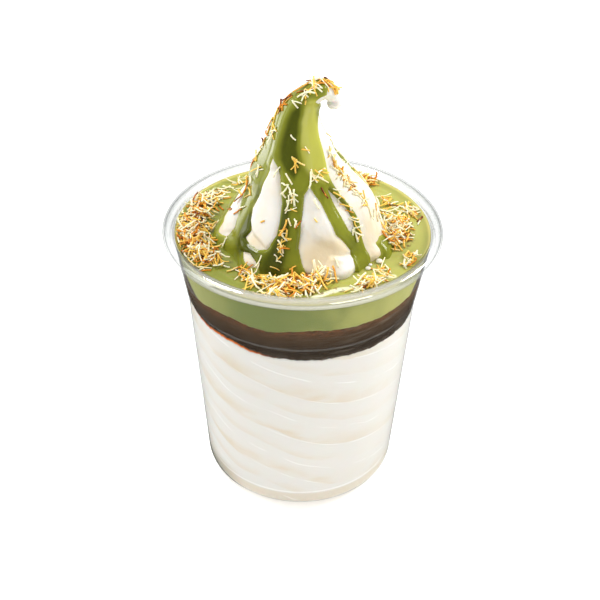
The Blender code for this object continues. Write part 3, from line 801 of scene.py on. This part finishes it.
# stations up its middle line: (x, z, radius over the ridges, lean of the section towards +X)
PEAK_STATIONS = [
    (0.4, 100.6, 28.2, 0),
    (0.4, 103.6, 28.6, 0),
    (0.5, 106.5, 27.3, 0),
    (0.8, 110, 25.6, 0),
    (1.2, 113.5, 23.9, 0),
    (1.2, 117, 21.9, 0),
    (0.4, 121, 18.9, 0),
    (-1.1, 125.5, 16, 0),
    (-1.6, 130, 13, 0),
    (-1.7, 135, 10.6, 0),
    (-2.2, 141, 8.2, 2),
    (-1.7, 146, 6.4, 9),
    (-0.2, 149.3, 4.9, 23),
    (1.3, 151.3, 3.8, 34),
    (2.8, 152.6, 3.4, 50),
    (4.6, 153.7, 3.2, 69),
    (6.5, 154.2, 3.1, 90),
    (8.1, 153.6, 2.9, 113),
    (9.3, 152, 2.4, 138),
    (9.6, 151.1, 1.9, 160),
    (9.7, 150, 2.6, 174),
]
FOOT_FORWARD = 2.0  # the foot lies this far towards the viewer, and less and less up to the reach
FORWARD_REACH = 18.0
# how deep the valleys are at the foot and at the neck, how far up the neck is, and where they end
VALLEY_FOOT = 2.4
VALLEY_NECK = 0.5
NECK_REACH = 36.0
CURL_REACH = 52.0
# lobes between the grooves of the nozzle: angle at the foot and at the apex, half width at the foot,
# apex's distance up the spine
LOBES = [
    (-142, -138, 7, 21),
    (-90, -84, 7, 20),
    (-34, -40, 7.6, 32),
    (16, 13, 8.9, 25),
    (74, 90, 13, 47.5),
    (124, 130, 6.6, 22),
    (171, 168, 7.5, 30),
]
LOBE_POINT = 0.75  # the smaller it is, the blunter a lobe ends at its apex
# folds of the lobes: outline as (angle, distance up the spine), rise, softness of the step at its edge
FOLDS = [
    (
        [(-43, 33.5), (-45, 28), (-50, 22.5), (-57, 16.5), (-52, 13.3), (-43, 11), (-34, 9.6), (-28, 8.4)]
        + [(-24, 11), (-23, 20), (-22.5, 25), (-26, 29), (-34, 32)],
        1.1,
        0.9,
    ),
    (
        [(12.5, 28), (3, 25), (-1, 22), (-6, 15), (2.5, 13.6), (10.5, 12), (18, 10.4), (27, 7.8), (37, 5.4)]
        + [(37, 6.5), (30, 10.4), (23.5, 13), (19.5, 18), (18, 22.5)],
        0.9,
        1.8,
    ),
    ([(18, 7), (22, 6.7), (28, 5.7), (38, 4.6), (38, 0), (34, -3), (18, -3), (12, 2)], 1.1, 0.5),
    ([(-90, 6), (-92, 12), (-91, 18), (-83, 18), (-76, 12), (-70, 6), (-78, 4)], 0.6, 0.8),
]
# the ridge that the sauce follows from the left lobe up over the curl
CREST = [(-43, 32), (-40, 36), (-37, 40), (-35, 44), (-36, 47), (-44, 50), (-40, 52), (-26, 55), (-20, 58)]
# where cream-coloured painted shade lies on the soft serve, and where an amount below 0 takes it off as
# painted light: angle, half turn, distance up, half reach, amount
PEAK_PAINTED_SHADING = [
    (17, 16, 9, 4.5, 0.8),
    (29, 10, 3, 3, -0.5),
    (-40, 14, 9, 3, 0.25),
    (72, 26, 20, 16, 0.3),
]
CREST_RISE = 0.9
CREST_HALF = 2.6
APEX_HALF = 3.4  # half turns of a ridge just above a lobe's apex, and well above it
RIDGE_HALF = 9.0
LUMP_REACH = 4.0
FOOT_LUMPS = [(-75, 14, 1.8), (-39, 10, 1.2), (30, 14, 2.2), (62, 16, 2.4)]
PEAK_COLUMNS = 360
PEAK_ROWS = 230
PEAK_WHITE = (0.82, 0.805, 0.765)
# cream of its clouds and of its painted shade
PEAK_CREAM_AND_SHADE = (0.83, 0.70, 0.48)

station_table = np.array(PEAK_STATIONS)
station_steps = np.hypot(np.diff(station_table[:, 0]), np.diff(station_table[:, 1]))
station_reach = np.concatenate([[0.0], np.cumsum(station_steps)])
spine_length = station_reach[-1]
lobe_table = np.array(LOBES)[:, :, None]


def spine(reach):
    """x, z, radius and lean at distances up the spine, on a smooth curve through the stations."""
    place = np.interp(reach, station_reach, np.arange(len(station_reach)))
    low = np.clip(place.astype(int), 0, len(station_reach) - 2)
    t = (place - low)[:, None]
    last = len(station_reach) - 1
    before, first, second, after = (station_table[np.clip(low + k, 0, last)] for k in (-1, 0, 1, 2))
    pull = (second - before) * t + (2.0 * before - 5.0 * first + 4.0 * second - after) * t**2
    return (first + 0.5 * (pull + (3.0 * first - before - 3.0 * second + after) * t**3)).T


def lobe_offsets(angle, reach, radius):
    """For each lobe, the turn from its middle and its half width in degrees."""
    foot, apex, half, apex_reach = (lobe_table[:, k] for k in range(4))
    middle = foot + (apex - foot) * np.minimum(1.0, reach / apex_reach)
    turn = np.abs(angle_between(angle, middle))
    open_share = np.clip(1.0 - (reach / apex_reach) ** 2, 0.0, 1.0)
    bare = half * open_share**LOBE_POINT
    above = np.minimum(RIDGE_HALF, APEX_HALF + np.maximum(0.0, reach - apex_reach))
    width = np.where(reach > apex_reach, above, np.maximum(np.degrees(bare / radius), APEX_HALF))
    return turn, width


def ridge_height(angle, reach, radius):
    """How high the ridges stand, from 0 in a valley to 1 along the middle of a lobe."""
    turn, width = lobe_offsets(angle, reach, radius)
    gaps = np.sort(turn - width, axis=0)
    nearest = np.argmin(turn - width, axis=0)[None, :]
    turn = np.take_along_axis(turn, nearest, 0)[0]
    width = np.take_along_axis(width, nearest, 0)[0]
    valley = np.maximum(1.0, (gaps[0] + gaps[1]) / 3.0)
    return 1.0 - ease((turn - 0.4 * width) / (0.6 * width + valley))


def on_peak(corners, angle, reach, closed=True):
    """Distances in millimetres, along the peak's surface, to a line or to an outline's edge."""
    corners = np.array(corners, float)
    middle = np.mean(corners[:, 0])
    flat = np.column_stack([np.radians(corners[:, 0] - middle) * spine(corners[:, 1])[2], corners[:, 1]])
    x = np.radians(angle_between(angle, middle)) * spine(reach)[2]
    return line_distance(flat, x, reach, closed)


def covered(outline, soft, angle, reach):
    """1 inside an outline on the peak and 0 outside it, with a soft step between."""
    return 1.0 - ease(0.5 + on_peak(outline, angle, reach) / (2.0 * soft))


def relief(angle, reach):
    """How far folds and the crest stand out of the ridges."""
    height = CREST_RISE * ease(1.0 - np.abs(on_peak(CREST, angle, reach, False)) / CREST_HALF)
    for outline, rise, soft in FOLDS:
        height += rise * covered(outline, soft, angle, reach)
    return height


def groove(angle, reach, radius):
    """How deep the surface lies under the ridges."""
    depth = VALLEY_FOOT + (VALLEY_NECK - VALLEY_FOOT) * np.clip(reach / NECK_REACH, 0.0, 1.0)
    depth *= 1.0 - np.clip((reach - NECK_REACH) / (CURL_REACH - NECK_REACH), 0.0, 1.0)
    return depth * (1.0 - ridge_height(angle, reach, radius))


def peak_surface(angle, reach, lift=0.0):
    """Points of the peak at angles and distances up its spine, lifted off it along its section."""
    x, z, radius, lean = spine(reach)
    lumps = np.zeros_like(angle)
    for at, half_turn, size in FOOT_LUMPS:
        lumps += size * np.exp(-((angle_between(angle, at) / half_turn) ** 2))
    lumps *= np.exp(-((reach / LUMP_REACH) ** 4))
    r = radius - groove(angle, reach, radius) + relief(angle, reach) + lumps + lift
    turn = np.radians(angle)
    tilt = np.radians(lean)
    forward = FOOT_FORWARD * np.clip(1.0 - reach / FORWARD_REACH, 0.0, 1.0)
    side = r * np.sin(turn)
    return np.stack([x + side * np.cos(tilt), -r * np.cos(turn) - forward, z - side * np.sin(tilt)], axis=1)


def spots(table, angle, reach):
    """Sum of soft round spots, each an angle, half turn, distance up, half reach and amount."""
    total = np.zeros_like(angle)
    for at, half_turn, up, half_reach, amount in table:
        off = (angle_between(angle, at) / half_turn) ** 2 + ((reach - up) / half_reach) ** 2
        total += amount * np.exp(-off)
    return total


def sleeve(name, material, rows, columns, top):
    """A tube of fine faces, and the angle and distance up the spine of each of its vertices."""
    bm = turned([(1.0, top * k / rows) for k in range(rows + 1)], columns)
    co = np.array([vertex.co for vertex in bm.verts])
    angle = np.degrees(np.arctan2(co[:, 0], -co[:, 1]))
    return object_of(bm, name, material), angle, co[:, 2]


def put(item, points):
    """Place an object's vertices, given in millimetres."""
    item.data.vertices.foreach_set("co", (points * MM).astype(np.float32).ravel())
    item.data.update()


def close_ends(item):
    """Close a tube's two open ends."""
    bm = bmesh.new()
    bm.from_mesh(item.data)
    open_edges = [edge for edge in bm.edges if edge.is_boundary]
    bmesh.ops.holes_fill(bm, edges=open_edges, sides=0)
    bm.to_mesh(item.data)
    bm.free()
    item.data.shade_smooth()


def soft_vanilla():
    """Soft serve in the open: dense and white with cream-coloured clouds, cream-coloured painted shade low
    down and at listed places, and a fine icy grain.
    """
    finish = Finish(
        "soft_vanilla",
        Roughness=0.45,
        Subsurface_Weight=0.35,
        Subsurface_Radius=(1.0, 0.75, 0.5),
        Subsurface_Scale=2.5 * MM,
        Coat_Roughness=0.3,
    )
    cream = finish.noise(9.0, 3.0, (1.0, 1.0, 1.6)).between(0.35, 0.7)
    # painted shade: cream towards the foot of the peak
    low = finish.place().part(2).between(103.0, 116.0, 0.75, 0.15)
    share = (cream * 0.35 + low * 0.5 + finish.attribute("cream_painted_shading")).between(0.0, 1.0)
    finish.set(Base_Color=finish.mix(share, PEAK_WHITE, PEAK_CREAM_AND_SHADE))
    finish.set(Coat_Weight=finish.noise(5.0).between(0.4, 0.7, 0.0, 0.2))
    finish.bump(finish.noise(3.5, 2.0) + finish.noise(0.35, 2.0) * 0.1, 0.25)
    return finish.material


def build_peak():
    """The ridged peak, closed by a rounded tip and by a foot that the pool hides."""
    top = spine_length + TIP_LENGTH
    peak, angle, reach = sleeve("soft_serve_peak", soft_vanilla(), PEAK_ROWS, PEAK_COLUMNS, top)
    on_spine = np.minimum(reach, spine_length)
    points = peak_surface(angle, on_spine)
    beyond = np.clip((reach - spine_length) / TIP_LENGTH, 0.0, 1.0)
    end = np.array([PEAK_STATIONS[-1][0], 0.0, PEAK_STATIONS[-1][1]])
    cap = end + (points - end) * np.sqrt(1.0 - beyond**2)[:, None]
    cap[:, 2] -= TIP_LENGTH * beyond
    put(peak, np.where((beyond > 0.0)[:, None], cap, points))
    keep_number(peak, "cream_painted_shading", spots(PEAK_PAINTED_SHADING, angle, reach))
    close_ends(peak)
    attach(peak, "root")
    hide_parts("vanilla_swirl")
    return peak


peak = build_peak()


# ---- poured pistachio sauce ----
# Thick sauce poured over the curl. It coats the neck, and runs down the valleys between the ridges
# in rounded streams that leave the lobes of soft serve bare and spread into the pool.
SAUCE_TOP = 58.4
# outlines of what stays bare, as (angle, distance up the spine)
BARE = [
    [(-84, 2.5), (-90, 6), (-92, 12), (-91, 18), (-89, 26), (-83, 21), (-79, 16), (-74, 12)]
    + [(-70, 7.5), (-72, 3.5)],
    [(-43, 34), (-45, 28), (-50, 22.5), (-57, 16.5), (-52, 13), (-47, 10.8), (-51, 7.8), (-42, 7.4)]
    + [(-34, 6.9), (-27, 8), (-23.5, 12.5), (-23, 20), (-22, 25), (-26, 29), (-34, 32)],
    [(-47, 4.6), (-40, 5.4), (-33, 3.9), (-30, 2.2), (-36, 1.6), (-42, 2.6)],
    [(12.5, 27), (4, 24.5), (-1, 21), (-5.5, 16), (-5, 9), (-1, 4.5), (6, -2), (20, -4), (34, -4), (36, 0)]
    + [(37, 6.5), (30, 10.4), (23.5, 13), (19.5, 18), (18, 22.5)],
    [(35, 24.8), (32.5, 21), (32.5, 19), (34, 16), (38, 12.2), (42.5, 10.2), (45, 12), (44, 16)]
    + [(43, 18.7), (39, 22)],
    [(84, 50), (72, 47.5), (61, 43.5), (53, 38), (48.5, 31.5), (45.5, 26.5), (46, 22.5), (48, 18.5)]
    + [(50.5, 14), (50, 10), (51, 5), (50, 0), (54, 0), (59, 2), (61, 5), (68, 5.6), (76, 4.6)]
    + [(85, -2), (98, -2), (103, 8), (110, 18), (116, 28), (118, 38), (105, 46)],
    [(-142, 21), (-152, 12), (-156, 0), (-142, -4), (-128, 0), (-130, 12)],
    [(128, 22), (118, 14), (112, 0), (124, -4), (136, 0), (136, 14)],
    [(169, 31), (160, 20), (157, 0), (171, -4), (185, 0), (180, 20)],
]
# the side of the spine that comes to lie underneath in the curl: within this turn of it the sauce
# stays short of its top, and over the next turn it comes up to it
UNDERSIDE = 80.0
UNDER_TURN = 62.0
UNDER_FADE = 16.0
UNDER_SHORT = 5.0
SAUCE_NECK = 1.0
SAUCE_STREAM = 1.3
SAUCE_ROUND = 1.8  # over this width its edge curves up to its full thickness
SAUCE_SINK = 0.7
SAUCE_SKIN = 0.3
SAUCE_FILL = 0.8  # how much of the grooves between the ridges it fills up, over the reaches below
FILL_REACH = (16.0, 30.0)
SPREAD = 1.8
SPREAD_REACH = 3.5
# colours of the sauce in painted shade, plain, and in painted light, which its thin edges also reach
SAUCE_SHADED = (0.075, 0.088, 0.006)
SAUCE_GREEN = (0.225, 0.245, 0.022)
SAUCE_LIT = (0.50, 0.50, 0.085)
# painted light and shade on the sauce, lighter on its lit right side and darker in the shaded middle:
# outline as (angle, distance up), softness, amount
SAUCE_LIGHT_AREAS = [
    (
        [(-14, 53), (1, 48.5), (8, 44.7), (5, 41), (4, 37), (8, 33), (15, 30.5), (30, 27.5), (45, 27)]
        + [(50, 34), (56, 40), (58, 45), (40, 51), (15, 55)],
        1.7,
        0.5,
    ),
    (
        [(-24, 51), (-28, 48), (-28, 43), (-32, 38), (-30, 34), (-18, 31), (-6, 29), (1, 32), (0, 38)]
        + [(3, 43), (-2, 48)],
        1.3,
        -0.5,
    ),
]
# smaller places of painted light and shade: angle, half turn, distance up, half reach, amount
SAUCE_SHADING_SPOTS = [
    (-52, 7, 13, 10, -0.7),
    (-19, 5, 13, 11, -0.6),
    (-8, 5, 14, 10, -0.12),
    (-22, 8, 4, 5, -0.4),
    (-42, 12, 6.3, 2.4, -0.5),
    (40, 7, 16, 9, -0.3),
    (-60, 40, 56, 5, -0.12),
]
# where its wet skin mirrors the light side of the room
SHINES = [
    (-66, 22, 38, 16, 0.95),
    (-70, 9, 16, 11, 0.9),
    (-20, 3, 14, 10, 0.5),
    (25, 14, 50, 4, 0.35),
]
PLAIN_SHADING = 0.5
PLAIN_SHINE = 0.04
SAUCE_ROWS = 170
SAUCE_COLUMNS = 300


def sauce_lift(angle, reach):
    """How far the sauce stands off the peak; under 0 it has sunk into it and doesn't show."""
    edge = np.min([on_peak(outline, angle, reach) for outline in BARE], axis=0)
    clear_of_it = np.clip((np.abs(angle_between(angle, UNDERSIDE)) - UNDER_TURN) / UNDER_FADE, 0.0, 1.0)
    edge = np.minimum(edge, SAUCE_TOP - UNDER_SHORT * (1.0 - clear_of_it) - reach)
    full = SAUCE_NECK + (SAUCE_STREAM - SAUCE_NECK) * (1.0 - np.clip(reach / NECK_REACH, 0.0, 1.0))
    bulge = np.sqrt(1.0 - (1.0 - np.clip(edge / SAUCE_ROUND, 0.0, 1.0)) ** 2)
    flow = 0.1 * np.sin(0.5 * reach + np.radians(3.0 * angle))
    flow += 0.08 * np.sin(np.radians(7.0 * angle) + 0.2 * reach)
    spread = SPREAD * np.clip(1.0 - reach / SPREAD_REACH, 0.0, 1.0) ** 2
    low, high = FILL_REACH
    fill = SAUCE_FILL * ease((reach - low) / (high - low)) * groove(angle, reach, spine(reach)[2])
    return np.where(edge > 0.0, bulge * (full + flow + spread + fill), np.maximum(-SAUCE_SINK, edge))


def poured_sauce():
    """Pistachio sauce: olive where it is thick and a clear yellow green at its thin edges, with painted
    light on its lit side and painted shade where it lies in shadow.
    """
    finish = Finish(
        "poured_sauce",
        Roughness=0.12,
        Subsurface_Weight=0.2,
        Subsurface_Radius=(1.0, 0.9, 0.2),
        Subsurface_Scale=1.2 * MM,
        Specular_IOR_Level=0.12,
        Coat_IOR=1.7,
        Coat_Roughness=0.1,
    )
    sauce_light_and_shade = finish.attribute("sauce_light_and_shade") + finish.wander(6.0, 2.0, 0.25)
    sauce_light_and_shade = sauce_light_and_shade + finish.attribute("thickness").between(0.0, 1.1, 0.30, 0.0)
    colour = finish.mix(sauce_light_and_shade.between(0.0, 0.5), SAUCE_SHADED, SAUCE_GREEN)
    finish.set(Base_Color=finish.mix(sauce_light_and_shade.between(0.5, 1.0), colour, SAUCE_LIT))
    finish.set(Coat_Weight=finish.attribute("shine"))
    finish.bump(finish.noise(4.0, 2.0, (1.0, 1.0, 1.6)) + finish.noise(0.5, 2.0) * 0.04, 0.12)
    return finish.material


def build_sauce():
    """The skin of sauce: a tube round the peak, cut away where it has sunk well into the peak."""
    top = SAUCE_TOP + 2.0
    sauce, angle, reach = sleeve("poured_sauce", poured_sauce(), SAUCE_ROWS, SAUCE_COLUMNS, top)
    lift = sauce_lift(angle, reach)
    put(sauce, peak_surface(angle, reach, lift))
    keep_number(sauce, "thickness", lift)
    # painted light and shade on the sauce
    sauce_light_and_shade = PLAIN_SHADING + spots(SAUCE_SHADING_SPOTS, angle, reach)
    for outline, soft, amount in SAUCE_LIGHT_AREAS:
        sauce_light_and_shade += amount * covered(outline, soft, angle, reach)
    keep_number(sauce, "sauce_light_and_shade", sauce_light_and_shade)
    keep_number(sauce, "shine", PLAIN_SHINE + spots(SHINES, angle, reach))
    bm = bmesh.new()
    bm.from_mesh(sauce.data)
    thickness = bm.verts.layers.float["thickness"]
    sunk = [face for face in bm.faces if all(v[thickness] <= 0.01 - SAUCE_SINK for v in face.verts)]
    bmesh.ops.delete(bm, geom=sunk, context="FACES")
    bm.to_mesh(sauce.data)
    bm.free()
    thicken(sauce, "skin", SAUCE_SKIN)
    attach(sauce, "root")
    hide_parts("pistachio_sauce")
    return sauce


sauce = build_sauce()


# ---- drops of soft serve ----
# Three small drops of soft serve that have fallen on the pool in front of the peak's right side,
# where they have flattened and sunk in a little.
DROPS = [(42, 32.7, 0.9), (52, 32.8, 1.15), (46, 31.6, 0.7)]  # angle, distance out, radius
DROP_FLAT = 0.6
DROP_SINK = 0.2
DROP_PAINTED_SHADING = -0.3  # less painted shade than the peak gets, so they are whiter than it


def build_drops():
    """Flattened balls that lie a little way into the pool."""
    bm = bmesh.new()
    for angle, r, size in DROPS:
        turn = math.radians(angle)
        z = pool_z(angle, r) + size * (DROP_FLAT - DROP_SINK)
        place = Matrix.Translation((r * math.sin(turn), -r * math.cos(turn), z))
        place @= Matrix.Diagonal((1.0, 1.0, DROP_FLAT, 1.0))
        bmesh.ops.create_uvsphere(bm, u_segments=24, v_segments=16, radius=size, matrix=place)
    drops = object_of(bm, "soft_serve_drops", bpy.data.materials["soft_vanilla"])
    keep_number(drops, "cream_painted_shading", np.full(len(drops.data.vertices), DROP_PAINTED_SHADING))
    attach(drops, "root")


build_drops()


# ---- toasted pastry shreds ----
# Short strands of shredded pastry, fried until they are golden, and strewn over the whole cup: a
# tangled heap on the left, smaller ones in front and on the right, and single strands on the peak.
STRAND_SEED = 27
STRAND_SIDES = 5
STRAND_BENDS = 4
STRAND_LENGTH = (2.0, 6.6)
STRAND_WIDTH = (0.22, 0.36)  # half the width
STRAND_FLAT = 0.72  # its thickness against its width
STRAND_TURN = 26.0
# how far one end of a strand may stand up, on the pool and on the peak
STRAND_LIFTS = (0.0, 0.0, 0.0, 0.7, 1.7)
STUCK_LIFTS = (0.0, 0.0, 0.4, 1.2)
STRAND_SAG = 0.4
STRAND_HALF = 5  # how many places on each side of its middle can hold a strand up
STEEPEST = 0.75  # how steep a strand lies at most
FREE_R = 43.9  # how far out the wall lets strands lie
GRID_STEP = 0.5
GRID_HALF = 47.0
ABOVE_ALL = 170.0  # height from which strands fall
# strands laid on the pool: angle, half turn, distance out, half width, number, toasting from 0 to 1
POOL_STRANDS = [
    (-86, 32, 38.8, 6.2, 185, 0.68),
    (-74, 18, 40.5, 4.6, 62, 0.78),
    (-72, 18, 33.5, 4, 24, 0.45),
    (-112, 15, 39, 5.2, 50, 0.3),
    (-128, 14, 37, 5, 18, 0.15),
    (-144, 12, 39.5, 3.5, 14, 0.2),
    (-57, 8, 38.5, 5.6, 42, 0.35),
    (-48, 8, 35.5, 2.5, 10, 0.5),
    (-34, 9, 34.2, 2, 18, 0.65),
    (-22, 9, 36.5, 5.6, 36, 0.62),
    (-9, 11, 36, 5.4, 64, 0.58),
    (-10, 9, 42.3, 1.6, 16, 0.2),
    (8, 14, 33, 3.6, 44, 0.45),
    (3, 9, 38, 3, 18, 0.4),
    (33, 11, 40.3, 2.4, 48, 0.08),
    (46, 9, 36.5, 2.8, 10, 0.2),
    (62, 8, 41, 2.8, 16, 0.5),
    (73, 8, 33.5, 3.4, 22, 0.45),
    (87, 15, 33.5, 4.6, 88, 0.24),
    (104, 13, 33, 4.6, 36, 0.25),
    (108, 11, 40.8, 3, 24, 0.5),
    (122, 9, 35, 4, 18, 0.35),
    (145, 8, 41.6, 2.4, 32, 0.95),
    (160, 12, 38, 5, 16, 0.45),
    (180, 40, 38, 6, 40, 0.4),
]
# how dark a strand is comes from a random share of 1, raised to a power: this one without toasting, so
# much less with full toasting, and at least this one
TONE_POWER = (1.65, 1.25, 0.02)
LOWER_SHADE = 1.0  # painted shade: the strands at the bottom of a heap are made this much darker than those on top
# strands stuck to the peak: angle, half turn, distance up, half reach, number, toasting, and share of
# a full length
PEAK_STRANDS = [
    (-62, 34, 56.5, 2.8, 18, 0.4, 0.8),
    (-72, 12, 60.4, 1.4, 4, 0.6, 0.8),
    (-112, 2, 58.4, 0.3, 1, 1.4, 0.55),
    (-38, 24, 52.3, 2.8, 7, 0, 0.8),
    (-75, 6, 46.5, 3.2, 6, 1.1, 0.8),
    (-86, 6, 40, 4.5, 7, 1, 0.8),
    (-90, 6, 30, 6, 9, 0.8, 0.8),
    (-80, 5, 19, 5, 5, 0.9, 0.8),
    (-61, 5, 41, 2, 4, 0.65, 0.8),
    (-64, 6, 28.4, 1, 4, 0.1, 0.8),
    (-9.5, 0.5, 41.2, 0.3, 1, 0, 0.55),
    (15.5, 2, 37.6, 0.6, 2, 0, 0.55),
    (-3.5, 5, 33.4, 0.9, 4, 0.55, 0.8),
    (35, 4, 31, 1.4, 3, 0.7, 0.55),
    (20, 9, 29.5, 1.8, 8, 0.15, 0.8),
    (26.5, 0.5, 25.1, 0.3, 1, 1.4, 0.55),
    (-31.5, 1, 30.7, 0.3, 1, -2, 0.55),
    (-37.5, 0.5, 15.5, 0.3, 1, 0.85, 0.55),
    (9, 2, 18.3, 0.5, 1, 0.85, 0.55),
    (-9, 2, 16.6, 0.6, 3, 0.8, 0.55),
    (16, 3, 22, 1, 1, 0.1, 0.55),
    (-12, 7, 24, 6, 16, 0.12, 0.8),
    (-17, 2.5, 12, 8.5, 18, 0.6, 0.8),
    (-86, 1, 10, 0.5, 2, 1.4, 0.55),
    (-72, 6, 18, 6, 6, 0.5, 0.8),
    (67, 5, 25.5, 8.5, 72, 0.3, 0.8),
    (72, 8, 14, 4, 6, 0.4, 0.8),
    (45, 3, 16, 8, 14, 0.2, 0.8),
    (160, 60, 27, 20, 60, 0.45, 0.8),
    (-145, 30, 22, 15, 26, 0.45, 0.8),
]
PASTRY_CREAM = (1.0, 0.95, 0.68)
PASTRY_GOLDEN = (1.0, 0.65, 0.12)
PASTRY_ORANGE = (0.76, 0.26, 0.02)
PASTRY_DARK = (0.16, 0.03, 0.01)

dice = random.Random(STRAND_SEED)


def toasted_pastry():
    """Thin fried pastry, from cream through golden and orange brown to nearly burnt."""
    finish = Finish(
        "toasted_pastry",
        Roughness=0.35,
        Specular_IOR_Level=0.15,
        Subsurface_Weight=0.1,
        Subsurface_Scale=0.4 * MM,
    )
    tone = finish.attribute("tone") + finish.wander(1.6, 2.0, 0.22)
    colour = finish.mix(tone.between(0.36, 0.55), PASTRY_CREAM, PASTRY_GOLDEN)
    colour = finish.mix(tone.between(0.72, 0.92), colour, PASTRY_ORANGE)
    finish.set(Base_Color=finish.mix(tone.between(0.94, 1.0), colour, PASTRY_DARK))
    finish.bump(finish.noise(0.25, 2.0), 0.05)
    return finish.material


def ground_grid(items):
    """Height of the highest of some objects over a square grid of places, in millimetres."""
    graph = bpy.context.evaluated_depsgraph_get()
    trees = [BVHTree.FromObject(item, graph) for item in items]
    cells = int(2.0 * GRID_HALF / GRID_STEP) + 1
    ground = np.full((cells, cells), POOL_Z)
    for i in range(cells):
        for j in range(cells):
            x, y = i * GRID_STEP - GRID_HALF, j * GRID_STEP - GRID_HALF
            if math.hypot(x, y) > FREE_R + GRID_STEP:
                continue
            above = Vector((x, y, ABOVE_ALL)) * MM
            hits = [tree.ray_cast(above, Vector((0.0, 0.0, -1.0)))[0] for tree in trees]
            ground[i, j] = max([POOL_Z] + [hit.z / MM for hit in hits if hit])
    return ground


def within(middle, half):
    """A value near the middle of a range more often than at its ends."""
    return middle + half * max(-1.0, min(1.0, dice.gauss(0.0, 0.5)))


def strand_tone(toasting):
    """How dark one strand is; the darker kinds are rare unless the toasting is strong."""
    pale, less, least = TONE_POWER
    return dice.random() ** max(least, pale - less * toasting)


def laid_strand(ground, x, y):
    """The line of a strand dropped at a place: it rests on the two points that hold its middle up,
    sags a little between them, and raises the ground for what falls on it later."""
    length = dice.uniform(*STRAND_LENGTH)
    heading = dice.uniform(0.0, math.tau)
    turn = math.radians(dice.uniform(-STRAND_TURN, STRAND_TURN))
    half, count = STRAND_HALF, 2 * STRAND_HALF
    places = []
    for k in range(-half, half + 1):
        way = heading + turn * k / count
        place = np.array([x, y]) + np.array([math.cos(way), math.sin(way)]) * length * k / count
        places.append(place * min(1.0, FREE_R / np.hypot(*place)))
    cells = np.round((np.array(places) + GRID_HALF) / GRID_STEP).astype(int)
    under = ground[cells[:, 0], cells[:, 1]]
    held, slope = under[half], 0.0
    for i in range(half):
        for j in range(half + 1, count + 1):
            tilt = (under[j] - under[i]) / (j - i)
            if under[i] + tilt * (half - i) > held:
                held, slope = under[i] + tilt * (half - i), tilt
    steepest = STEEPEST * (length / count)
    line = held + max(-steepest, min(steepest, slope)) * np.arange(-half, half + 1)
    line += STRAND_WIDTH[0] + max(0.0, np.max(under - line) * 0.5)
    line -= STRAND_SAG * np.clip(line - under - STRAND_WIDTH[0], 0.0, 2.0)
    ground[cells[:, 0], cells[:, 1]] = np.maximum(under, line + STRAND_WIDTH[0] * 0.8)
    line += dice.choice(STRAND_LIFTS) * np.linspace(0.0, 1.0, count + 1) ** 2
    points = np.column_stack([np.array(places), line])
    stations = np.linspace(0, count, STRAND_BENDS + 1)
    return np.column_stack([np.interp(stations, np.arange(count + 1), points[:, k]) for k in range(3)])


def stuck_strand(angle, reach, share_long):
    """The line of a strand that lies on the peak or on its sauce; some of them stand off at one end."""
    length = dice.uniform(*STRAND_LENGTH) * share_long
    heading = dice.uniform(0.0, math.tau)
    turn = math.radians(dice.uniform(-STRAND_TURN, STRAND_TURN))
    share = np.linspace(-0.5, 0.5, STRAND_BENDS + 1)
    way = heading + turn * share
    radius = spine(np.array([min(reach, SAUCE_TOP)]))[2][0]
    up = np.clip(reach + length * share * np.cos(way), 0.5, spine_length - 1.0)
    across = angle + np.degrees(length * share * np.sin(way) / radius)
    off = dice.choice(STUCK_LIFTS) * (share + 0.5) ** 2
    lift = np.maximum(sauce_lift(across, up), 0.0) + STRAND_WIDTH[0] + off
    return peak_surface(across, up, lift)


def strew(name, material, lines, widths, tones):
    """One mesh of many strands: a short rod, repeated by an array and bent along each strand's line."""
    outline = [(1.0, k / STRAND_BENDS) for k in range(STRAND_BENDS + 1)]
    rod = turned([(0.0, 0.0)] + outline + [(0.0, 1.0)], STRAND_SIDES)
    shape = np.array([vertex.co for vertex in rod.verts])
    item = object_of(rod, name, material)
    item.modifiers.new("many", "ARRAY").count = len(lines)
    item.data = bpy.data.meshes.new_from_object(item.evaluated_get(bpy.context.evaluated_depsgraph_get()))
    item.modifiers.clear()
    lines = np.array(lines)
    ahead = np.gradient(lines, axis=1)
    ahead /= np.linalg.norm(ahead, axis=2)[:, :, None]
    side = np.cross(ahead, [0.0, 0.0, 1.0])
    side /= np.linalg.norm(side, axis=2)[:, :, None] + 1e-6
    over = np.cross(ahead, side)
    at = np.round(shape[:, 2] * STRAND_BENDS).astype(int)
    wide = np.array(widths)[:, None, None]
    across = side[:, at] * shape[None, :, 0:1] * wide
    across += over[:, at] * shape[None, :, 1:2] * wide * STRAND_FLAT
    put(item, (lines[:, at] + across).reshape(-1, 3))
    keep_number(item, "tone", np.repeat(np.array(tones), len(shape)))
    return item


def build_shreds():
    """All strands: first those of the pool, heap by heap, and then those on the peak."""
    ground = ground_grid([pool, peak, sauce])
    lines, tones = [], []
    for angle, half_turn, distance, half_width, number, toasting in POOL_STRANDS:
        for k in range(number):
            turn = math.radians(within(angle, half_turn))
            r = within(distance, half_width)
            lines.append(laid_strand(ground, r * math.sin(turn), -r * math.cos(turn)))
            # strands low in a heap get painted shade
            tones.append(strand_tone(toasting + LOWER_SHADE * (0.5 - k / number)))
    for angle, half_turn, reach, half_reach, number, toasting, share_long in PEAK_STRANDS:
        for _ in range(number):
            lines.append(stuck_strand(within(angle, half_turn), within(reach, half_reach), share_long))
            tones.append(strand_tone(toasting))
    widths = [dice.uniform(*STRAND_WIDTH) for _ in lines]
    shreds = strew("toasted_shreds", toasted_pastry(), lines, widths, tones)
    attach(shreds, "root")


build_shreds()
